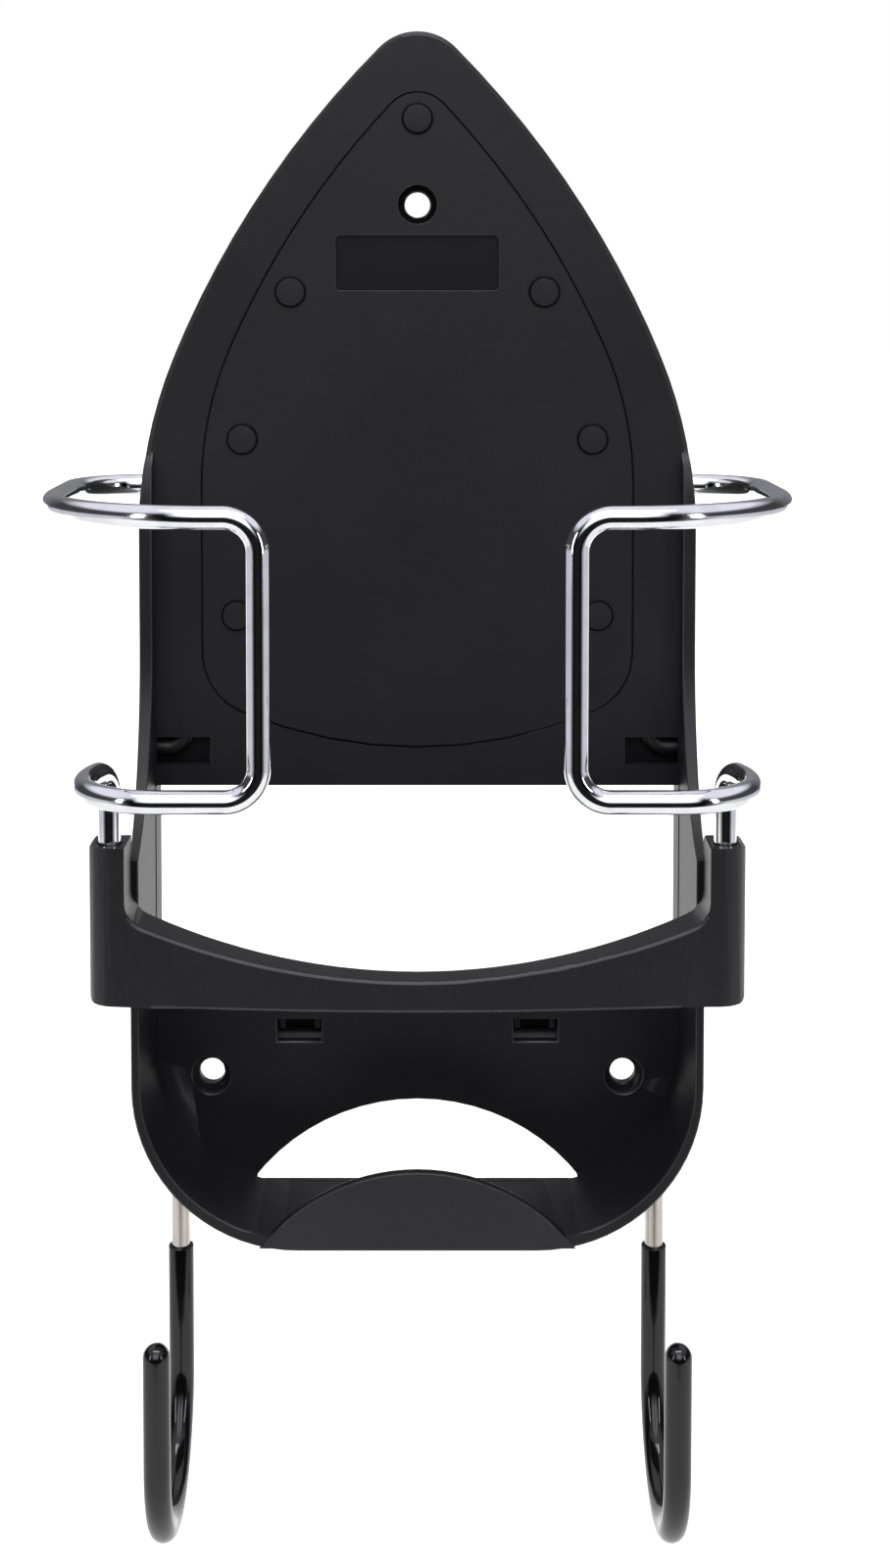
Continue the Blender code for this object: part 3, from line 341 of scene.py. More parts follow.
panel_lines = rounded_lines(panel)[1]
x, _, z = panel_lines.mean(axis=1).T
recess_low = RECESS_BOTTOM_Z - RECESS_SLACK
recess_high = RECESS_TOP_Z + RECESS_SLACK
in_recess = (np.abs(x) < RECESS_HALF_WIDTH + RECESS_SLACK) & (recess_low < z) & (z < recess_high)
in_hole = np.hypot(x, z - HOLE_Z) < HOLE_REACH
rim = panel_lines[~(in_recess | in_hole)]
for piece in (body, panel):
    for weight, ends in zip(*rounded_lines(piece)):
        if max(least_gap(end[None], rim[:, 0], rim[:, 1]) for end in ends) < GROOVE_REACH:
            weight.value = 0.0
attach(panel, "root")
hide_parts("heat_panel")


# Rest pads: seven low buttons of black heat-resistant rubber that keep the iron's sole off the panel. Each
# is pressed into a hole in the panel and the plate by its stem. The sole rubs the top, and the rim has
# painted shade in a darker, matt tone.
PAD_HEIGHT = 0.0007
PAD_ROUND = 0.0006
PAD_DOME = 0.00012
PAD_UNDERCUT = 0.0001
PAD_CROWN_END = 0.0004
PAD_STEM = 0.0020
PAD_STEM_EASE = 0.0003
PAD_SIDES = 64
PAD_RIM_ROWS = (3, 9)
PAD_DARK = (0.0042, 0.0042, 0.0048)
PAD_LIGHT = (0.0062, 0.0062, 0.0070)
PAD_NAMES = ("tip", "upper_left", "upper_right", "middle_left", "middle_right", "lower_left", "lower_right")


def ringed_mesh(name, rings, first_pole, last_pole, lengths=None):
    """A closed skin over a row of rings, array (rings, sides, 3), that ends in a pole point at each end.
    Quads join ring to ring and triangles join the end rings to the poles, with outward faces where a ring
    turns right-handed about the way the row runs. UV is the length run and the share of a turn."""
    count, sides, _ = rings.shape
    points = np.concatenate([rings.reshape(-1, 3), [first_pole], [last_pole]])
    row = np.arange(count - 1)[:, None] * sides
    here = np.arange(sides)[None, :]
    ahead = (here + 1) % sides
    quads = np.stack([row + here, row + ahead, row + sides + ahead, row + sides + here], axis=-1)
    quads = quads.reshape(-1, 4)
    end = (count - 1) * sides
    pole = np.full(sides, count * sides)
    start_fan = np.stack([pole, ahead[0], here[0]], axis=1)
    end_fan = np.stack([pole + 1, end + here[0], end + ahead[0]], axis=1)
    mesh = bpy.data.meshes.new(name)
    mesh.from_pydata(points.tolist(), [], quads.tolist() + start_fan.tolist() + end_fan.tolist())
    if lengths is None:
        steps = np.linalg.norm(np.diff(rings, axis=0), axis=2).mean(axis=1)
        lengths = np.concatenate([[0.0], np.cumsum(steps)])
    turn = np.arange(sides) / sides
    low = np.repeat(lengths[:-1], sides)
    high = np.repeat(lengths[1:], sides)
    left = np.tile(turn, count - 1)
    right = left + 1.0 / sides
    quad_uv = np.stack([low, left, low, right, high, right, high, left], axis=1).reshape(-1)
    first = np.full(sides, lengths[0])
    last = np.full(sides, lengths[-1])
    start_uv = np.stack([first, turn, first, turn + 1.0 / sides, first, turn], axis=1).reshape(-1)
    end_uv = np.stack([last, turn, last, turn, last, turn + 1.0 / sides], axis=1).reshape(-1)
    layer = mesh.uv_layers.new(name="along_and_round")
    layer.data.foreach_set("uv", np.concatenate([quad_uv, start_uv, end_uv]))
    mesh.shade_smooth()
    mesh.set_sharp_from_angle(angle=math.radians(40))
    piece = bpy.data.objects.new(name, mesh)
    scene.collection.objects.link(piece)
    return piece


def turned_rings(centre, profile, sides):
    """Rings of a turned form on an axis along -Y: each row of the profile is a radius and a depth from the
    wall, and the points are the centre plus the radius times the cosine and sine of the turn."""
    turn = np.linspace(0.0, 2 * math.pi, sides, endpoint=False)
    radius = profile[:, 0][:, None]
    depth = np.broadcast_to(profile[:, 1][:, None], (len(profile), sides))
    x = centre[0] + radius * np.sin(turn)[None, :]
    z = centre[1] + radius * np.cos(turn)[None, :]
    return np.stack([x, -depth, z], axis=-1)


def quarter(centre, radius, start, end, steps):
    """Points of an arc in a profile, as (radius, depth), from one angle to another in degrees."""
    angle = np.radians(np.linspace(start, end, steps))
    return np.stack([centre[0] + radius * np.cos(angle), centre[1] + radius * np.sin(angle)], axis=1)


pad_rubber = moulded_plastic(
    "black_pad", PAD_DARK, PAD_LIGHT, roughness=0.52, grain=3200.0, grain_depth=0.00003
)
rim_from, rim_to = (row * PAD_SIDES for row in PAD_RIM_ROWS)
for pad_name in PAD_NAMES:
    low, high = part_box(f"rest_pad_{pad_name}")
    centre = ((low[0] + high[0]) / 2, (low[2] + high[2]) / 2)
    button = (high[0] - low[0]) / 2
    top = -low[1]
    rear = -high[1]
    seat = top - PAD_HEIGHT
    crown = np.linspace(button - PAD_ROUND, PAD_CROWN_END, 6)
    crown_depth = top - PAD_DOME * (crown / button) ** 2
    profile = np.concatenate(
        [
            [[PAD_STEM - PAD_STEM_EASE, rear], [PAD_STEM, rear + PAD_STEM_EASE]],
            [[PAD_STEM, seat], [button - PAD_UNDERCUT, seat]],
            quarter((button - PAD_ROUND, crown_depth[0] - PAD_ROUND), PAD_ROUND, 0, 90, 6),
            np.stack([crown[1:], crown_depth[1:]], axis=1),
        ]
    )
    pad = ringed_mesh(
        f"pad_{pad_name}",
        turned_rings(centre, profile, PAD_SIDES),
        (centre[0], -rear, centre[1]),
        (centre[0], -top, centre[1]),
    )
    pad.data.materials.append(pad_rubber)
    pad.data.materials.append(matt_painted_shade)
    # the rim's faces get the painted shade
    for face in pad.data.polygons[rim_from:rim_to]:
        face.material_index = 1
    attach(pad, "root")
    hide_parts(f"rest_pad_{pad_name}")


# Hook frame: one bright nickel-plated steel rod, bent into two hooks with a crossbar between them. The
# crossbar lies in forked ribs behind the tray's back wall, and the rod shows bare below the tray. The
# crossbar's middle has painted shade, a dark, dull tone.
ROD_RADIUS = 0.0025
ROD_TOP_BEND = 0.0062
ROD_SIDES = 40
ROD_END_ROUND = 0.0003
WIRE_END_ROWS = 6
WIRE_END_LEAN = 80.0
COAT_RADIUS = 0.0034
COAT_TIP = 0.0012
NICKEL = (0.60, 0.55, 0.515)
NICKEL_DULL = (0.50, 0.46, 0.43)
PAINTED_SHADE_TONE = (0.06, 0.06, 0.062)
SHADE_MATT = 0.35
SHADE_FADE = 0.003
CROSSBAR_SPAN = 0.062

rod_low, rod_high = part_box("hook_frame")
hook_x = float(rod_high[0]) - ROD_RADIUS
rear_y = float(rod_high[1]) - ROD_RADIUS
front_y = float(rod_low[1]) + ROD_RADIUS
crossbar_z = float(rod_high[2]) - ROD_RADIUS
bottom_z = float(rod_low[2]) + ROD_RADIUS
tip_z = float(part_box("hook_sleeve_right")[1][2])
hook_bend = (rear_y - front_y) / 2


def bent_wire(corners, bends, steps):
    """A wire's centre line: straight runs joined by round bends, with two directions square to it. Along a
    bend the point is its start plus the radius times sin(t) forwards and 1 - cos(t) inwards, and the two
    directions turn by t about the bend's axis. Gives points, both directions and the distance run."""
    corners = np.asarray(corners, float)
    ways = np.diff(corners, axis=0)
    ways /= np.linalg.norm(ways, axis=1)[:, None]
    spare = np.eye(3)[np.argmin(np.abs(ways[0]))]
    across = np.cross(ways[0], spare)
    across /= np.linalg.norm(across)
    up = np.cross(ways[0], across)
    points = [corners[:1]]
    sides = [across[None, :]]
    tops = [up[None, :]]
    for corner, way, leaving, bend in zip(corners[1:], ways, ways[1:], bends):
        axis = np.cross(way, leaving)
        turn = math.atan2(np.linalg.norm(axis), way @ leaving)
        axis /= np.linalg.norm(axis)
        start = corner - way * bend * math.tan(turn / 2)
        t = np.linspace(0.0, turn, steps)[:, None]
        inward = np.cross(axis, way)
        points.append(start + bend * (np.sin(t) * way + (1 - np.cos(t)) * inward))
        turned = [
            v * np.cos(t) + np.cross(axis, v) * np.sin(t) + axis * (axis @ v) * (1 - np.cos(t))
            for v in (across, up)
        ]
        sides.append(turned[0])
        tops.append(turned[1])
        across, up = turned[0][-1], turned[1][-1]
    points.append(corners[-1:])
    sides.append(across[None, :])
    tops.append(up[None, :])
    points, sides, tops = (np.concatenate(rows) for rows in (points, sides, tops))
    kept = np.concatenate([[True], np.linalg.norm(np.diff(points, axis=0), axis=1) > SAME_POINT])
    return points[kept], sides[kept], tops[kept]


def wire_rings(points, across, up, radii, sides):
    """Rings square to a centre line: centre plus radius times cos(t) across and sin(t) up."""
    t = np.linspace(0.0, 2 * math.pi, sides, endpoint=False)
    spokes = np.cos(t)[None, :, None] * across[:, None, :] + np.sin(t)[None, :, None] * up[:, None, :]
    return points[:, None, :] + np.asarray(radii)[:, None, None] * spokes


def wire_piece(name, corners, bends, radius, sides, end_round, steps=28):
    """A round wire whose cut ends are eased by a quarter round of the given radius."""
    points, across, up = bent_wire(corners, bends, steps)
    lean = np.radians(np.linspace(0.0, WIRE_END_LEAN, WIRE_END_ROWS))
    start_way = np.cross(across[0], up[0])
    end_way = np.cross(across[-1], up[-1])
    drop = end_round * (1 - np.sin(lean))[:, None]
    head = points[0] + start_way * drop[::-1]
    tail = points[-1] - end_way * drop
    eased = radius - end_round * (1 - np.cos(lean))
    rows = np.concatenate([head, points[1:-1], tail])
    sides_row, tops_row = (
        np.concatenate(
            [np.repeat(v[:1], WIRE_END_ROWS, 0), v[1:-1], np.repeat(v[-1:], WIRE_END_ROWS, 0)]
        )
        for v in (across, up)
    )
    radii = np.concatenate([eased[::-1], np.full(len(points) - 2, radius), eased])
    rings = wire_rings(rows, sides_row, tops_row, radii, sides)
    lengths = np.concatenate([[0.0], np.cumsum(np.linalg.norm(np.diff(rows, axis=0), axis=1))])
    return ringed_mesh(name, rings, points[0], points[-1], lengths)


def drawn_wire_group():
    """Marks of drawing and plating on a wire: long lines that follow its length, from noise stretched
    along U, and small clouds in the plating."""
    group, given, result = node_group(
        "drawn_wire", {"Along": (0.0, 0.0, 0.0), "Coordinates": (0.0, 0.0, 0.0)}, ("Lines", "Clouds")
    )
    stretched = add(group, "ShaderNodeMapping", {"Scale": (14.0, 26.0, 1.0)}, Vector=given.outputs["Along"])
    lines = add(
        group,
        "ShaderNodeTexNoise",
        {"Scale": 1.0, "Detail": 3.0, "Roughness": 0.6},
        Vector=stretched.outputs[0],
    )
    clouds = add(
        group,
        "ShaderNodeTexNoise",
        {"Scale": 160.0, "Detail": 3.0},
        Vector=given.outputs["Coordinates"],
    )
    group.links.new(lines.outputs[0], result.inputs["Lines"])
    group.links.new(clouds.outputs[0], result.inputs["Clouds"])
    return group


drawn_wire = drawn_wire_group()


def plated_wire(name, bright, dull, roughness, spread, line_depth, shade_from=-1.0, shade_to=-1.0):
    """Plated steel wire: two close metal tones mixed by the plating's clouds, a roughness that follows the
    drawing lines and the same lines as a faint bump. Between two distances along the wire, where it lies
    in the shade of the body, painted shade makes it dark and dull."""
    made, tree, shader = new_material(name)
    shader.inputs["Metallic"].default_value = 1.0
    place = add(tree, "ShaderNodeTexCoord")
    marks = add(tree, "ShaderNodeGroup", {"node_tree": drawn_wire})
    tree.links.new(place.outputs["UV"], marks.inputs["Along"])
    tree.links.new(place.outputs["Object"], marks.inputs["Coordinates"])
    colour = two_tones(tree, marks.outputs["Clouds"], dull, bright, low=0.36, high=0.60)
    run = add(tree, "ShaderNodeSeparateXYZ", Vector=place.outputs["UV"])
    begun = add(
        tree,
        "ShaderNodeMapRange",
        {"From Min": shade_from - SHADE_FADE, "From Max": shade_from},
        Value=run.outputs["X"],
    )
    ended = add(
        tree,
        "ShaderNodeMapRange",
        {"From Min": shade_to, "From Max": shade_to + SHADE_FADE, "To Min": 1.0, "To Max": 0.0},
        Value=run.outputs["X"],
    )
    shade_mask = add(tree, "ShaderNodeMath", {"operation": "MULTIPLY"}, _0=begun.outputs[0], _1=ended.outputs[0])
    shaded_colour = add(tree, "ShaderNodeMix", {"data_type": "RGBA"}, _0=shade_mask.outputs[0], _6=colour)
    shaded_colour.inputs[7].default_value = (*PAINTED_SHADE_TONE, 1.0)
    tree.links.new(shaded_colour.outputs[2], shader.inputs["Base Color"])
    gloss = add(
        tree,
        "ShaderNodeMapRange",
        {"From Min": 0.3, "From Max": 0.7, "To Min": roughness, "To Max": roughness + spread},
        Value=marks.outputs["Lines"],
    )
    matt = add(
        tree,
        "ShaderNodeMath",
        {"operation": "MULTIPLY_ADD"},
        _0=shade_mask.outputs[0],
        _2=gloss.outputs[0],
    )
    matt.inputs[1].default_value = SHADE_MATT
    tree.links.new(matt.outputs[0], shader.inputs["Roughness"])
    relief = add(
        tree,
        "ShaderNodeBump",
        {"Strength": 0.25, "Distance": line_depth},
        Height=marks.outputs["Lines"],
    )
    tree.links.new(relief.outputs[0], shader.inputs["Normal"])
    return made


def hook_corners(side, front_end_z, rear_end_z):
    """The corners of one hook, from its front end down, back and up to its rear end."""
    x = side * hook_x
    return [
        (x, front_y, front_end_z),
        (x, front_y, bottom_z),
        (x, rear_y, bottom_z),
        (x, rear_y, rear_end_z),
    ]


rod_end_z = tip_z - COAT_TIP - COAT_RADIUS
rod_corners = hook_corners(-1, rod_end_z, crossbar_z) + hook_corners(1, rod_end_z, crossbar_z)[::-1]
rod_bends = (hook_bend, hook_bend, ROD_TOP_BEND, ROD_TOP_BEND, hook_bend, hook_bend)
rod = wire_piece("hook_rod", rod_corners, rod_bends, ROD_RADIUS, ROD_SIDES, ROD_END_ROUND)
rod_run = max(spot.uv[0] for spot in rod.data.uv_layers[0].data)
# the crossbar's middle, seen through the clip window, has painted shade: a dark, dull tone
nickel = plated_wire(
    "nickel",
    NICKEL,
    NICKEL_DULL,
    roughness=0.16,
    spread=0.14,
    line_depth=0.00002,
    shade_from=rod_run / 2 - CROSSBAR_SPAN,
    shade_to=rod_run / 2 + CROSSBAR_SPAN,
)
rod.data.materials.append(nickel)
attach(rod, "root")
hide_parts("hook_frame")


# Hook coats: a thick glossy black vinyl coat dipped onto each hook. It ends in a soft rim round the rear
# leg and in a full dome over the rod's tip, and its skin has the slight waves of a dipped coat.
COAT_CLEARANCE = 0.00015
COAT_BORE = ROD_RADIUS + COAT_CLEARANCE
COAT_RIM = 0.0003
COAT_SIDES = 48
COAT_RIM_ROWS = 9
COAT_DOME_ROWS = 12
COAT_DOME_LEAN = 84.0
COAT_BEND_STEPS = 36
VINYL = (0.0020, 0.0020, 0.0023)
VINYL_GREY = (0.0036, 0.0036, 0.0040)


def dipped_coat(name, side):
    """A coat as one row of rings: up the bore from its blind end, over the open rim, down the outside and
    round the hook, and over the dome at the tip, where the radius is the coat's times the cosine of t."""
    corners = hook_corners(side, tip_z - COAT_RADIUS, tip_z)[::-1]
    points, across, up = bent_wire(corners, (hook_bend, hook_bend), COAT_BEND_STEPS)
    way = np.cross(across, up)
    blind = points[-1] - way[-1] * (COAT_TIP - COAT_CLEARANCE)
    bore_rows = np.concatenate([points[:-1], [blind]])[::-1]
    t = np.radians(np.linspace(0.0, 180.0, COAT_RIM_ROWS))
    wall = COAT_RADIUS - COAT_BORE
    rim_radii = COAT_BORE + wall * (1 - np.cos(t)) / 2
    rim_rows = points[0] + way[0] * (COAT_RIM * (1 - np.sin(t)))[:, None]
    lean = np.radians(np.linspace(0.0, COAT_DOME_LEAN, COAT_DOME_ROWS))
    dome_rows = points[-1] + way[-1] * (COAT_RADIUS * np.sin(lean))[:, None]
    dome_radii = COAT_RADIUS * np.cos(lean)
    rows = np.concatenate([bore_rows[:-1], rim_rows, points[1:-1], dome_rows])
    bore_radii = np.full(len(bore_rows) - 1, COAT_BORE)
    outer_radii = np.full(len(points) - 2, COAT_RADIUS)
    radii = np.concatenate([bore_radii, rim_radii, outer_radii, dome_radii])
    first = np.full(len(rim_rows), 0)
    last = np.full(len(dome_rows), len(points) - 1)
    order = np.arange(len(points))
    picks = np.concatenate([order[:0:-1], first, order[1:-1], last])
    rings = wire_rings(rows, across[picks], up[picks], radii, COAT_SIDES)
    return ringed_mesh(name, rings, blind, points[-1] + way[-1] * COAT_RADIUS)


def dipped_vinyl():
    """Glossy black vinyl: two near-black tones, low roughness and the slow waves of a dipped coat."""
    made, tree, shader = new_material("black_vinyl")
    shader.inputs["Specular IOR Level"].default_value = 0.42
    shader.inputs["Coat Weight"].default_value = 0.1
    shader.inputs["Coat Roughness"].default_value = 0.05
    place = add(tree, "ShaderNodeTexCoord")
    waves = add(tree, "ShaderNodeTexNoise", {"Scale": 260.0, "Detail": 1.5}, Vector=place.outputs["Object"])
    tree.links.new(two_tones(tree, waves.outputs[0], VINYL, VINYL_GREY), shader.inputs["Base Color"])
    gloss = add(tree, "ShaderNodeMapRange", {"To Min": 0.09, "To Max": 0.15}, Value=waves.outputs[0])
    tree.links.new(gloss.outputs[0], shader.inputs["Roughness"])
    relief = add(
        tree, "ShaderNodeBump", {"Strength": 0.2, "Distance": 0.0002}, Height=waves.outputs[0]
    )
    tree.links.new(relief.outputs[0], shader.inputs["Normal"])
    return made


vinyl = dipped_vinyl()
for side_name, side in (("left", -1), ("right", 1)):
    coat = dipped_coat(f"hook_coat_{side_name}", side)
    coat.data.materials.append(vinyl)
    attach(coat, "root")
    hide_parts(f"hook_sleeve_{side_name}")


# Guards: two chrome-plated steel wires. Each runs from a tail behind the plate, out round the side and the
# front, down and back to a leg that stands in a socket in the band's post, held by its own spring.
GUARD_RADIUS = 0.0028
GUARD_SIDES = 40
GUARD_END_ROUND = 0.0004
GUARD_LOWER_Z = -0.0243
GUARD_LEG_X = 0.0364
GUARD_TURN_OUT = math.radians(18.0)
POST_LEG_INSET = 0.0142
POST_LEG_BACK = 0.0335
TAIL_X = 0.0632
TAIL_FOOT_X = 0.0709
TAIL_FOOT_Z = -0.0296
GUARD_BENDS = (0.0042, 0.0075, 0.0175, 0.042, 0.008, 0.008, 0.019, 0.007)
CHROME = (0.86, 0.87, 0.89)
CHROME_DULL = (0.78, 0.79, 0.81)
TAIL_START = -0.01
TAIL_RUN = 0.070

guard_low, guard_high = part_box("guard_wire_right")
guard_side_x = float(guard_high[0]) - GUARD_RADIUS
guard_rear_y = float(guard_high[1]) - GUARD_RADIUS
guard_front_y = float(guard_low[1]) + GUARD_RADIUS
guard_upper_z = float(guard_high[2]) - GUARD_RADIUS
post_leg_x = guard_side_x - POST_LEG_INSET
post_leg_y = guard_front_y + POST_LEG_BACK
guard_lower_x = post_leg_x + math.tan(GUARD_TURN_OUT) * POST_LEG_BACK
guard_route = (
    (TAIL_FOOT_X, guard_rear_y, TAIL_FOOT_Z),
    (TAIL_X, guard_rear_y, TAIL_FOOT_Z),
    (TAIL_X, guard_rear_y, guard_upper_z),
    (guard_side_x, guard_rear_y, guard_upper_z),
    (guard_side_x, guard_front_y, guard_upper_z),
    (GUARD_LEG_X, guard_front_y, guard_upper_z),
    (GUARD_LEG_X, guard_front_y, GUARD_LOWER_Z),
    (guard_lower_x, guard_front_y, GUARD_LOWER_Z),
    (post_leg_x, post_leg_y, GUARD_LOWER_Z),
    (post_leg_x, post_leg_y, float(guard_low[2])),
)
# the tail, out of sight behind the plate and in the corner slot, has painted shade: a dark, dull tone
chrome = plated_wire(
    "chrome",
    CHROME,
    CHROME_DULL,
    roughness=0.07,
    spread=0.03,
    line_depth=0.000008,
    shade_from=TAIL_START,
    shade_to=TAIL_RUN,
)
for side_name, side in (("left", -1), ("right", 1)):
    corners = np.array(guard_route) * (side, 1.0, 1.0)
    guard = wire_piece(
        f"guard_{side_name}", corners, GUARD_BENDS, GUARD_RADIUS, GUARD_SIDES, GUARD_END_ROUND
    )
    guard.data.materials.append(chrome)
    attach(guard, "root")
    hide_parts(f"guard_wire_{side_name}")


# Rear covers: three thin strips of the same black plastic, staked over the guards' tails and the hooks'
# crossbar to keep them in. The melted stakes fill their holes, and the strips close the slots to the wall.
COVER_EDGE = 0.0002
STAKE_BORDER = 0.0024
STAKE_HOLE = 0.0016
STAKE_FILL = 0.00132
STAKE_POINT = 0.0001
STAKE_REACH = 1.1 * STAKE_HOLE

for cover_name in ("guard_cover_left", "guard_cover_right", "crossbar_cover"):
    cover = moulded_copy(cover_name, f"{cover_name}_strip", COVER_EDGE)
    low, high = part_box(cover_name)
    spots = np.array([corner.co[:] for corner in cover.data.vertices])
    fill = np.where(spots[:, 1] < (low[1] + high[1]) / 2, STAKE_POINT, STAKE_FILL)
    filled = np.zeros(len(spots), bool)
    for x in (low[0] + STAKE_BORDER, high[0] - STAKE_BORDER):
        for z in (low[2] + STAKE_BORDER, high[2] - STAKE_BORDER):
            arms = spots[:, [0, 2]] - (x, z)
            reach = np.linalg.norm(arms, axis=1)
            melted = reach < STAKE_REACH
            spots[np.ix_(melted, [0, 2])] = (x, z) + arms[melted] * (fill / reach)[melted, None]
            filled |= melted
    cover.data.vertices.foreach_set("co", spots.ravel())
    for line, weight in zip(cover.data.edges, cover.data.attributes["bevel_weight_edge"].data):
        if filled[list(line.vertices)].all():
            weight.value = 0.0
    cover.data.materials.append(black_moulding)
    # the strips' rounded edges carry the painted highlight
    cover.data.materials.append(painted_edge_highlight)
    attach(cover, "root")
    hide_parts(cover_name)


# Front band: a bowed black plastic bar with a post at each end, which keeps the iron's heel in the tray.
# Each post takes a guard's leg from above and is screwed to an ear of the body from behind.
BAND_DARK = (0.0100, 0.0099, 0.0114)
BAND_LIGHT = (0.0132, 0.0131, 0.0148)
BAND_EDGE = 0.0008
BAND_RUN = 0.0715
BAND_MERGE = 6e-5

band = moulded_copy("front_band", "band", BAND_EDGE, merge=BAND_MERGE, free_run=BAND_RUN)
black_band = moulded_plastic(
    "black_band", BAND_DARK, BAND_LIGHT, roughness=0.38, grain=2400.0, grain_depth=0.00002, spread=0.03
)
band.data.materials.append(black_band)
# the band's rounded edges carry the painted highlight
band.data.materials.append(painted_edge_highlight)
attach(band, "root")
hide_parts("front_band")


# Band screws: two small zinc-plated pan-head screws at each end of the band, driven from behind through
# the body's ears into the posts.
ZINC = (0.58, 0.58, 0.60)
ZINC_DULL = (0.48, 0.48, 0.50)
SCREW_SIDES = 48
SCREW_HEAD = 0.0022
SCREW_HEAD_ROUND = 0.0009
SCREW_HEAD_EASE = 0.0002
SCREW_DIMPLE = ((0.16, 0.0009), (0.30, 0.0003), (0.36, 0.0))
SCREW_DIMPLE_DEPTH = 0.0010
SCREW_SHANK = 0.0015
SCREW_POINT = 0.0006
SCREW_POINT_ROUND = 0.0001

zinc = plated_wire("zinc", ZINC, ZINC_DULL, roughness=0.28, spread=0.16, line_depth=0.00002)
for side_name in ("left", "right"):
    for level in ("upper", "lower"):
        screw_node = f"band_screw_{side_name}_{level}"
        low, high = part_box(screw_node)
        centre = ((low[0] + high[0]) / 2, (low[2] + high[2]) / 2)
        head = (high[0] - low[0]) / 2
        rear = -high[1]
        point = -low[1]
        under = rear + SCREW_HEAD
        profile = np.concatenate(
            [
                [[head * share, rear + depth] for share, depth in SCREW_DIMPLE],
                quarter(
                    (head - SCREW_HEAD_ROUND, rear + SCREW_HEAD_ROUND), SCREW_HEAD_ROUND, -90, 0, 6
                ),
                [[head, under - SCREW_HEAD_EASE], [head - SCREW_HEAD_EASE, under], [SCREW_SHANK, under]],
                [[SCREW_SHANK, point - SCREW_POINT], [SCREW_SHANK / 2, point - SCREW_POINT_ROUND]],
            ]
        )
        screw = ringed_mesh(
            screw_node + "_turned",
            turned_rings(centre, profile, SCREW_SIDES),
            (centre[0], -(rear + SCREW_DIMPLE_DEPTH), centre[1]),
            (centre[0], -point, centre[1]),
        )
        screw.data.materials.append(zinc)
        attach(screw, "root")
        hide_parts(screw_node)


# Stage: a white paper floor, well below the holder, whose far end curves up behind it. It is plain matt
# paper, which the camera sees at full white and shiny pieces see a little brighter in its far part.
FLOOR_Z = -0.46
FLOOR_FRONT_Y = -0.68
BACKDROP_Y = 1.3
PAPER_HALF_WIDTH = 1.3
PAPER_BEND = 0.5
PAPER_ROWS = 49
PAPER = (0.90, 0.90, 0.90)
PAPER_ROUGHNESS = 0.9
PAPER_GLOW = 0.50
FAR_FROM_Y = 0.2
FAR_TO_Y = 0.5
t = np.linspace(0.0, math.pi / 2, PAPER_ROWS)
paper_y = np.concatenate([[FLOOR_FRONT_Y], BACKDROP_Y - PAPER_BEND + PAPER_BEND * np.sin(t)])
paper_z = np.concatenate([[0.0], PAPER_BEND - PAPER_BEND * np.cos(t)]) + FLOOR_Z
paper_x = np.linspace(-PAPER_HALF_WIDTH, PAPER_HALF_WIDTH, 3)
grid = np.stack(
    [
        np.broadcast_to(paper_x[None, :], (len(paper_y), 3)),
        np.broadcast_to(paper_y[:, None], (len(paper_y), 3)),
        np.broadcast_to(paper_z[:, None], (len(paper_y), 3)),
    ],
    axis=-1,
)
first = (np.arange(len(paper_y) - 1)[:, None] * 3 + np.arange(2)[None, :]).ravel()
faces = np.stack([first, first + 1, first + 4, first + 3], axis=1)
paper_mesh = bpy.data.meshes.new("paper_sweep")
paper_mesh.from_pydata(grid.reshape(-1, 3).tolist(), [], faces.tolist())
paper_mesh.shade_smooth()
paper_sweep = bpy.data.objects.new("paper_sweep", paper_mesh)
scene.collection.objects.link(paper_sweep)
paper, tree, shader = new_material("white_paper")
paper_mesh.materials.append(paper)
shader.inputs["Base Color"].default_value = (*PAPER, 1.0)
shader.inputs["Roughness"].default_value = PAPER_ROUGHNESS
shader.inputs["Emission Color"].default_value = (1.0, 1.0, 1.0, 1.0)
rays = add(tree, "ShaderNodeLightPath")
seen = add(
    tree,
    "ShaderNodeMath",
    {"operation": "MAXIMUM"},
    _0=rays.outputs["Is Camera Ray"],
    _1=rays.outputs["Is Transmission Ray"],
)
place = add(tree, "ShaderNodeTexCoord")
spot = add(tree, "ShaderNodeSeparateXYZ", Vector=place.outputs["Object"])
far = add(
    tree, "ShaderNodeMapRange", {"From Min": FAR_FROM_Y, "From Max": FAR_TO_Y}, Value=spot.outputs["Y"]
)
mirrored = add(
    tree, "ShaderNodeMath", {"operation": "MULTIPLY"}, _0=rays.outputs["Is Glossy Ray"], _1=far.outputs[0]
)
lit = add(tree, "ShaderNodeMath", {"operation": "MAXIMUM"}, _0=seen.outputs[0], _1=mirrored.outputs[0])
glow = add(tree, "ShaderNodeMath", {"operation": "MULTIPLY"}, _0=lit.outputs[0])
glow.inputs[1].default_value = PAPER_GLOW
tree.links.new(glow.outputs[0], shader.inputs["Emission Strength"])


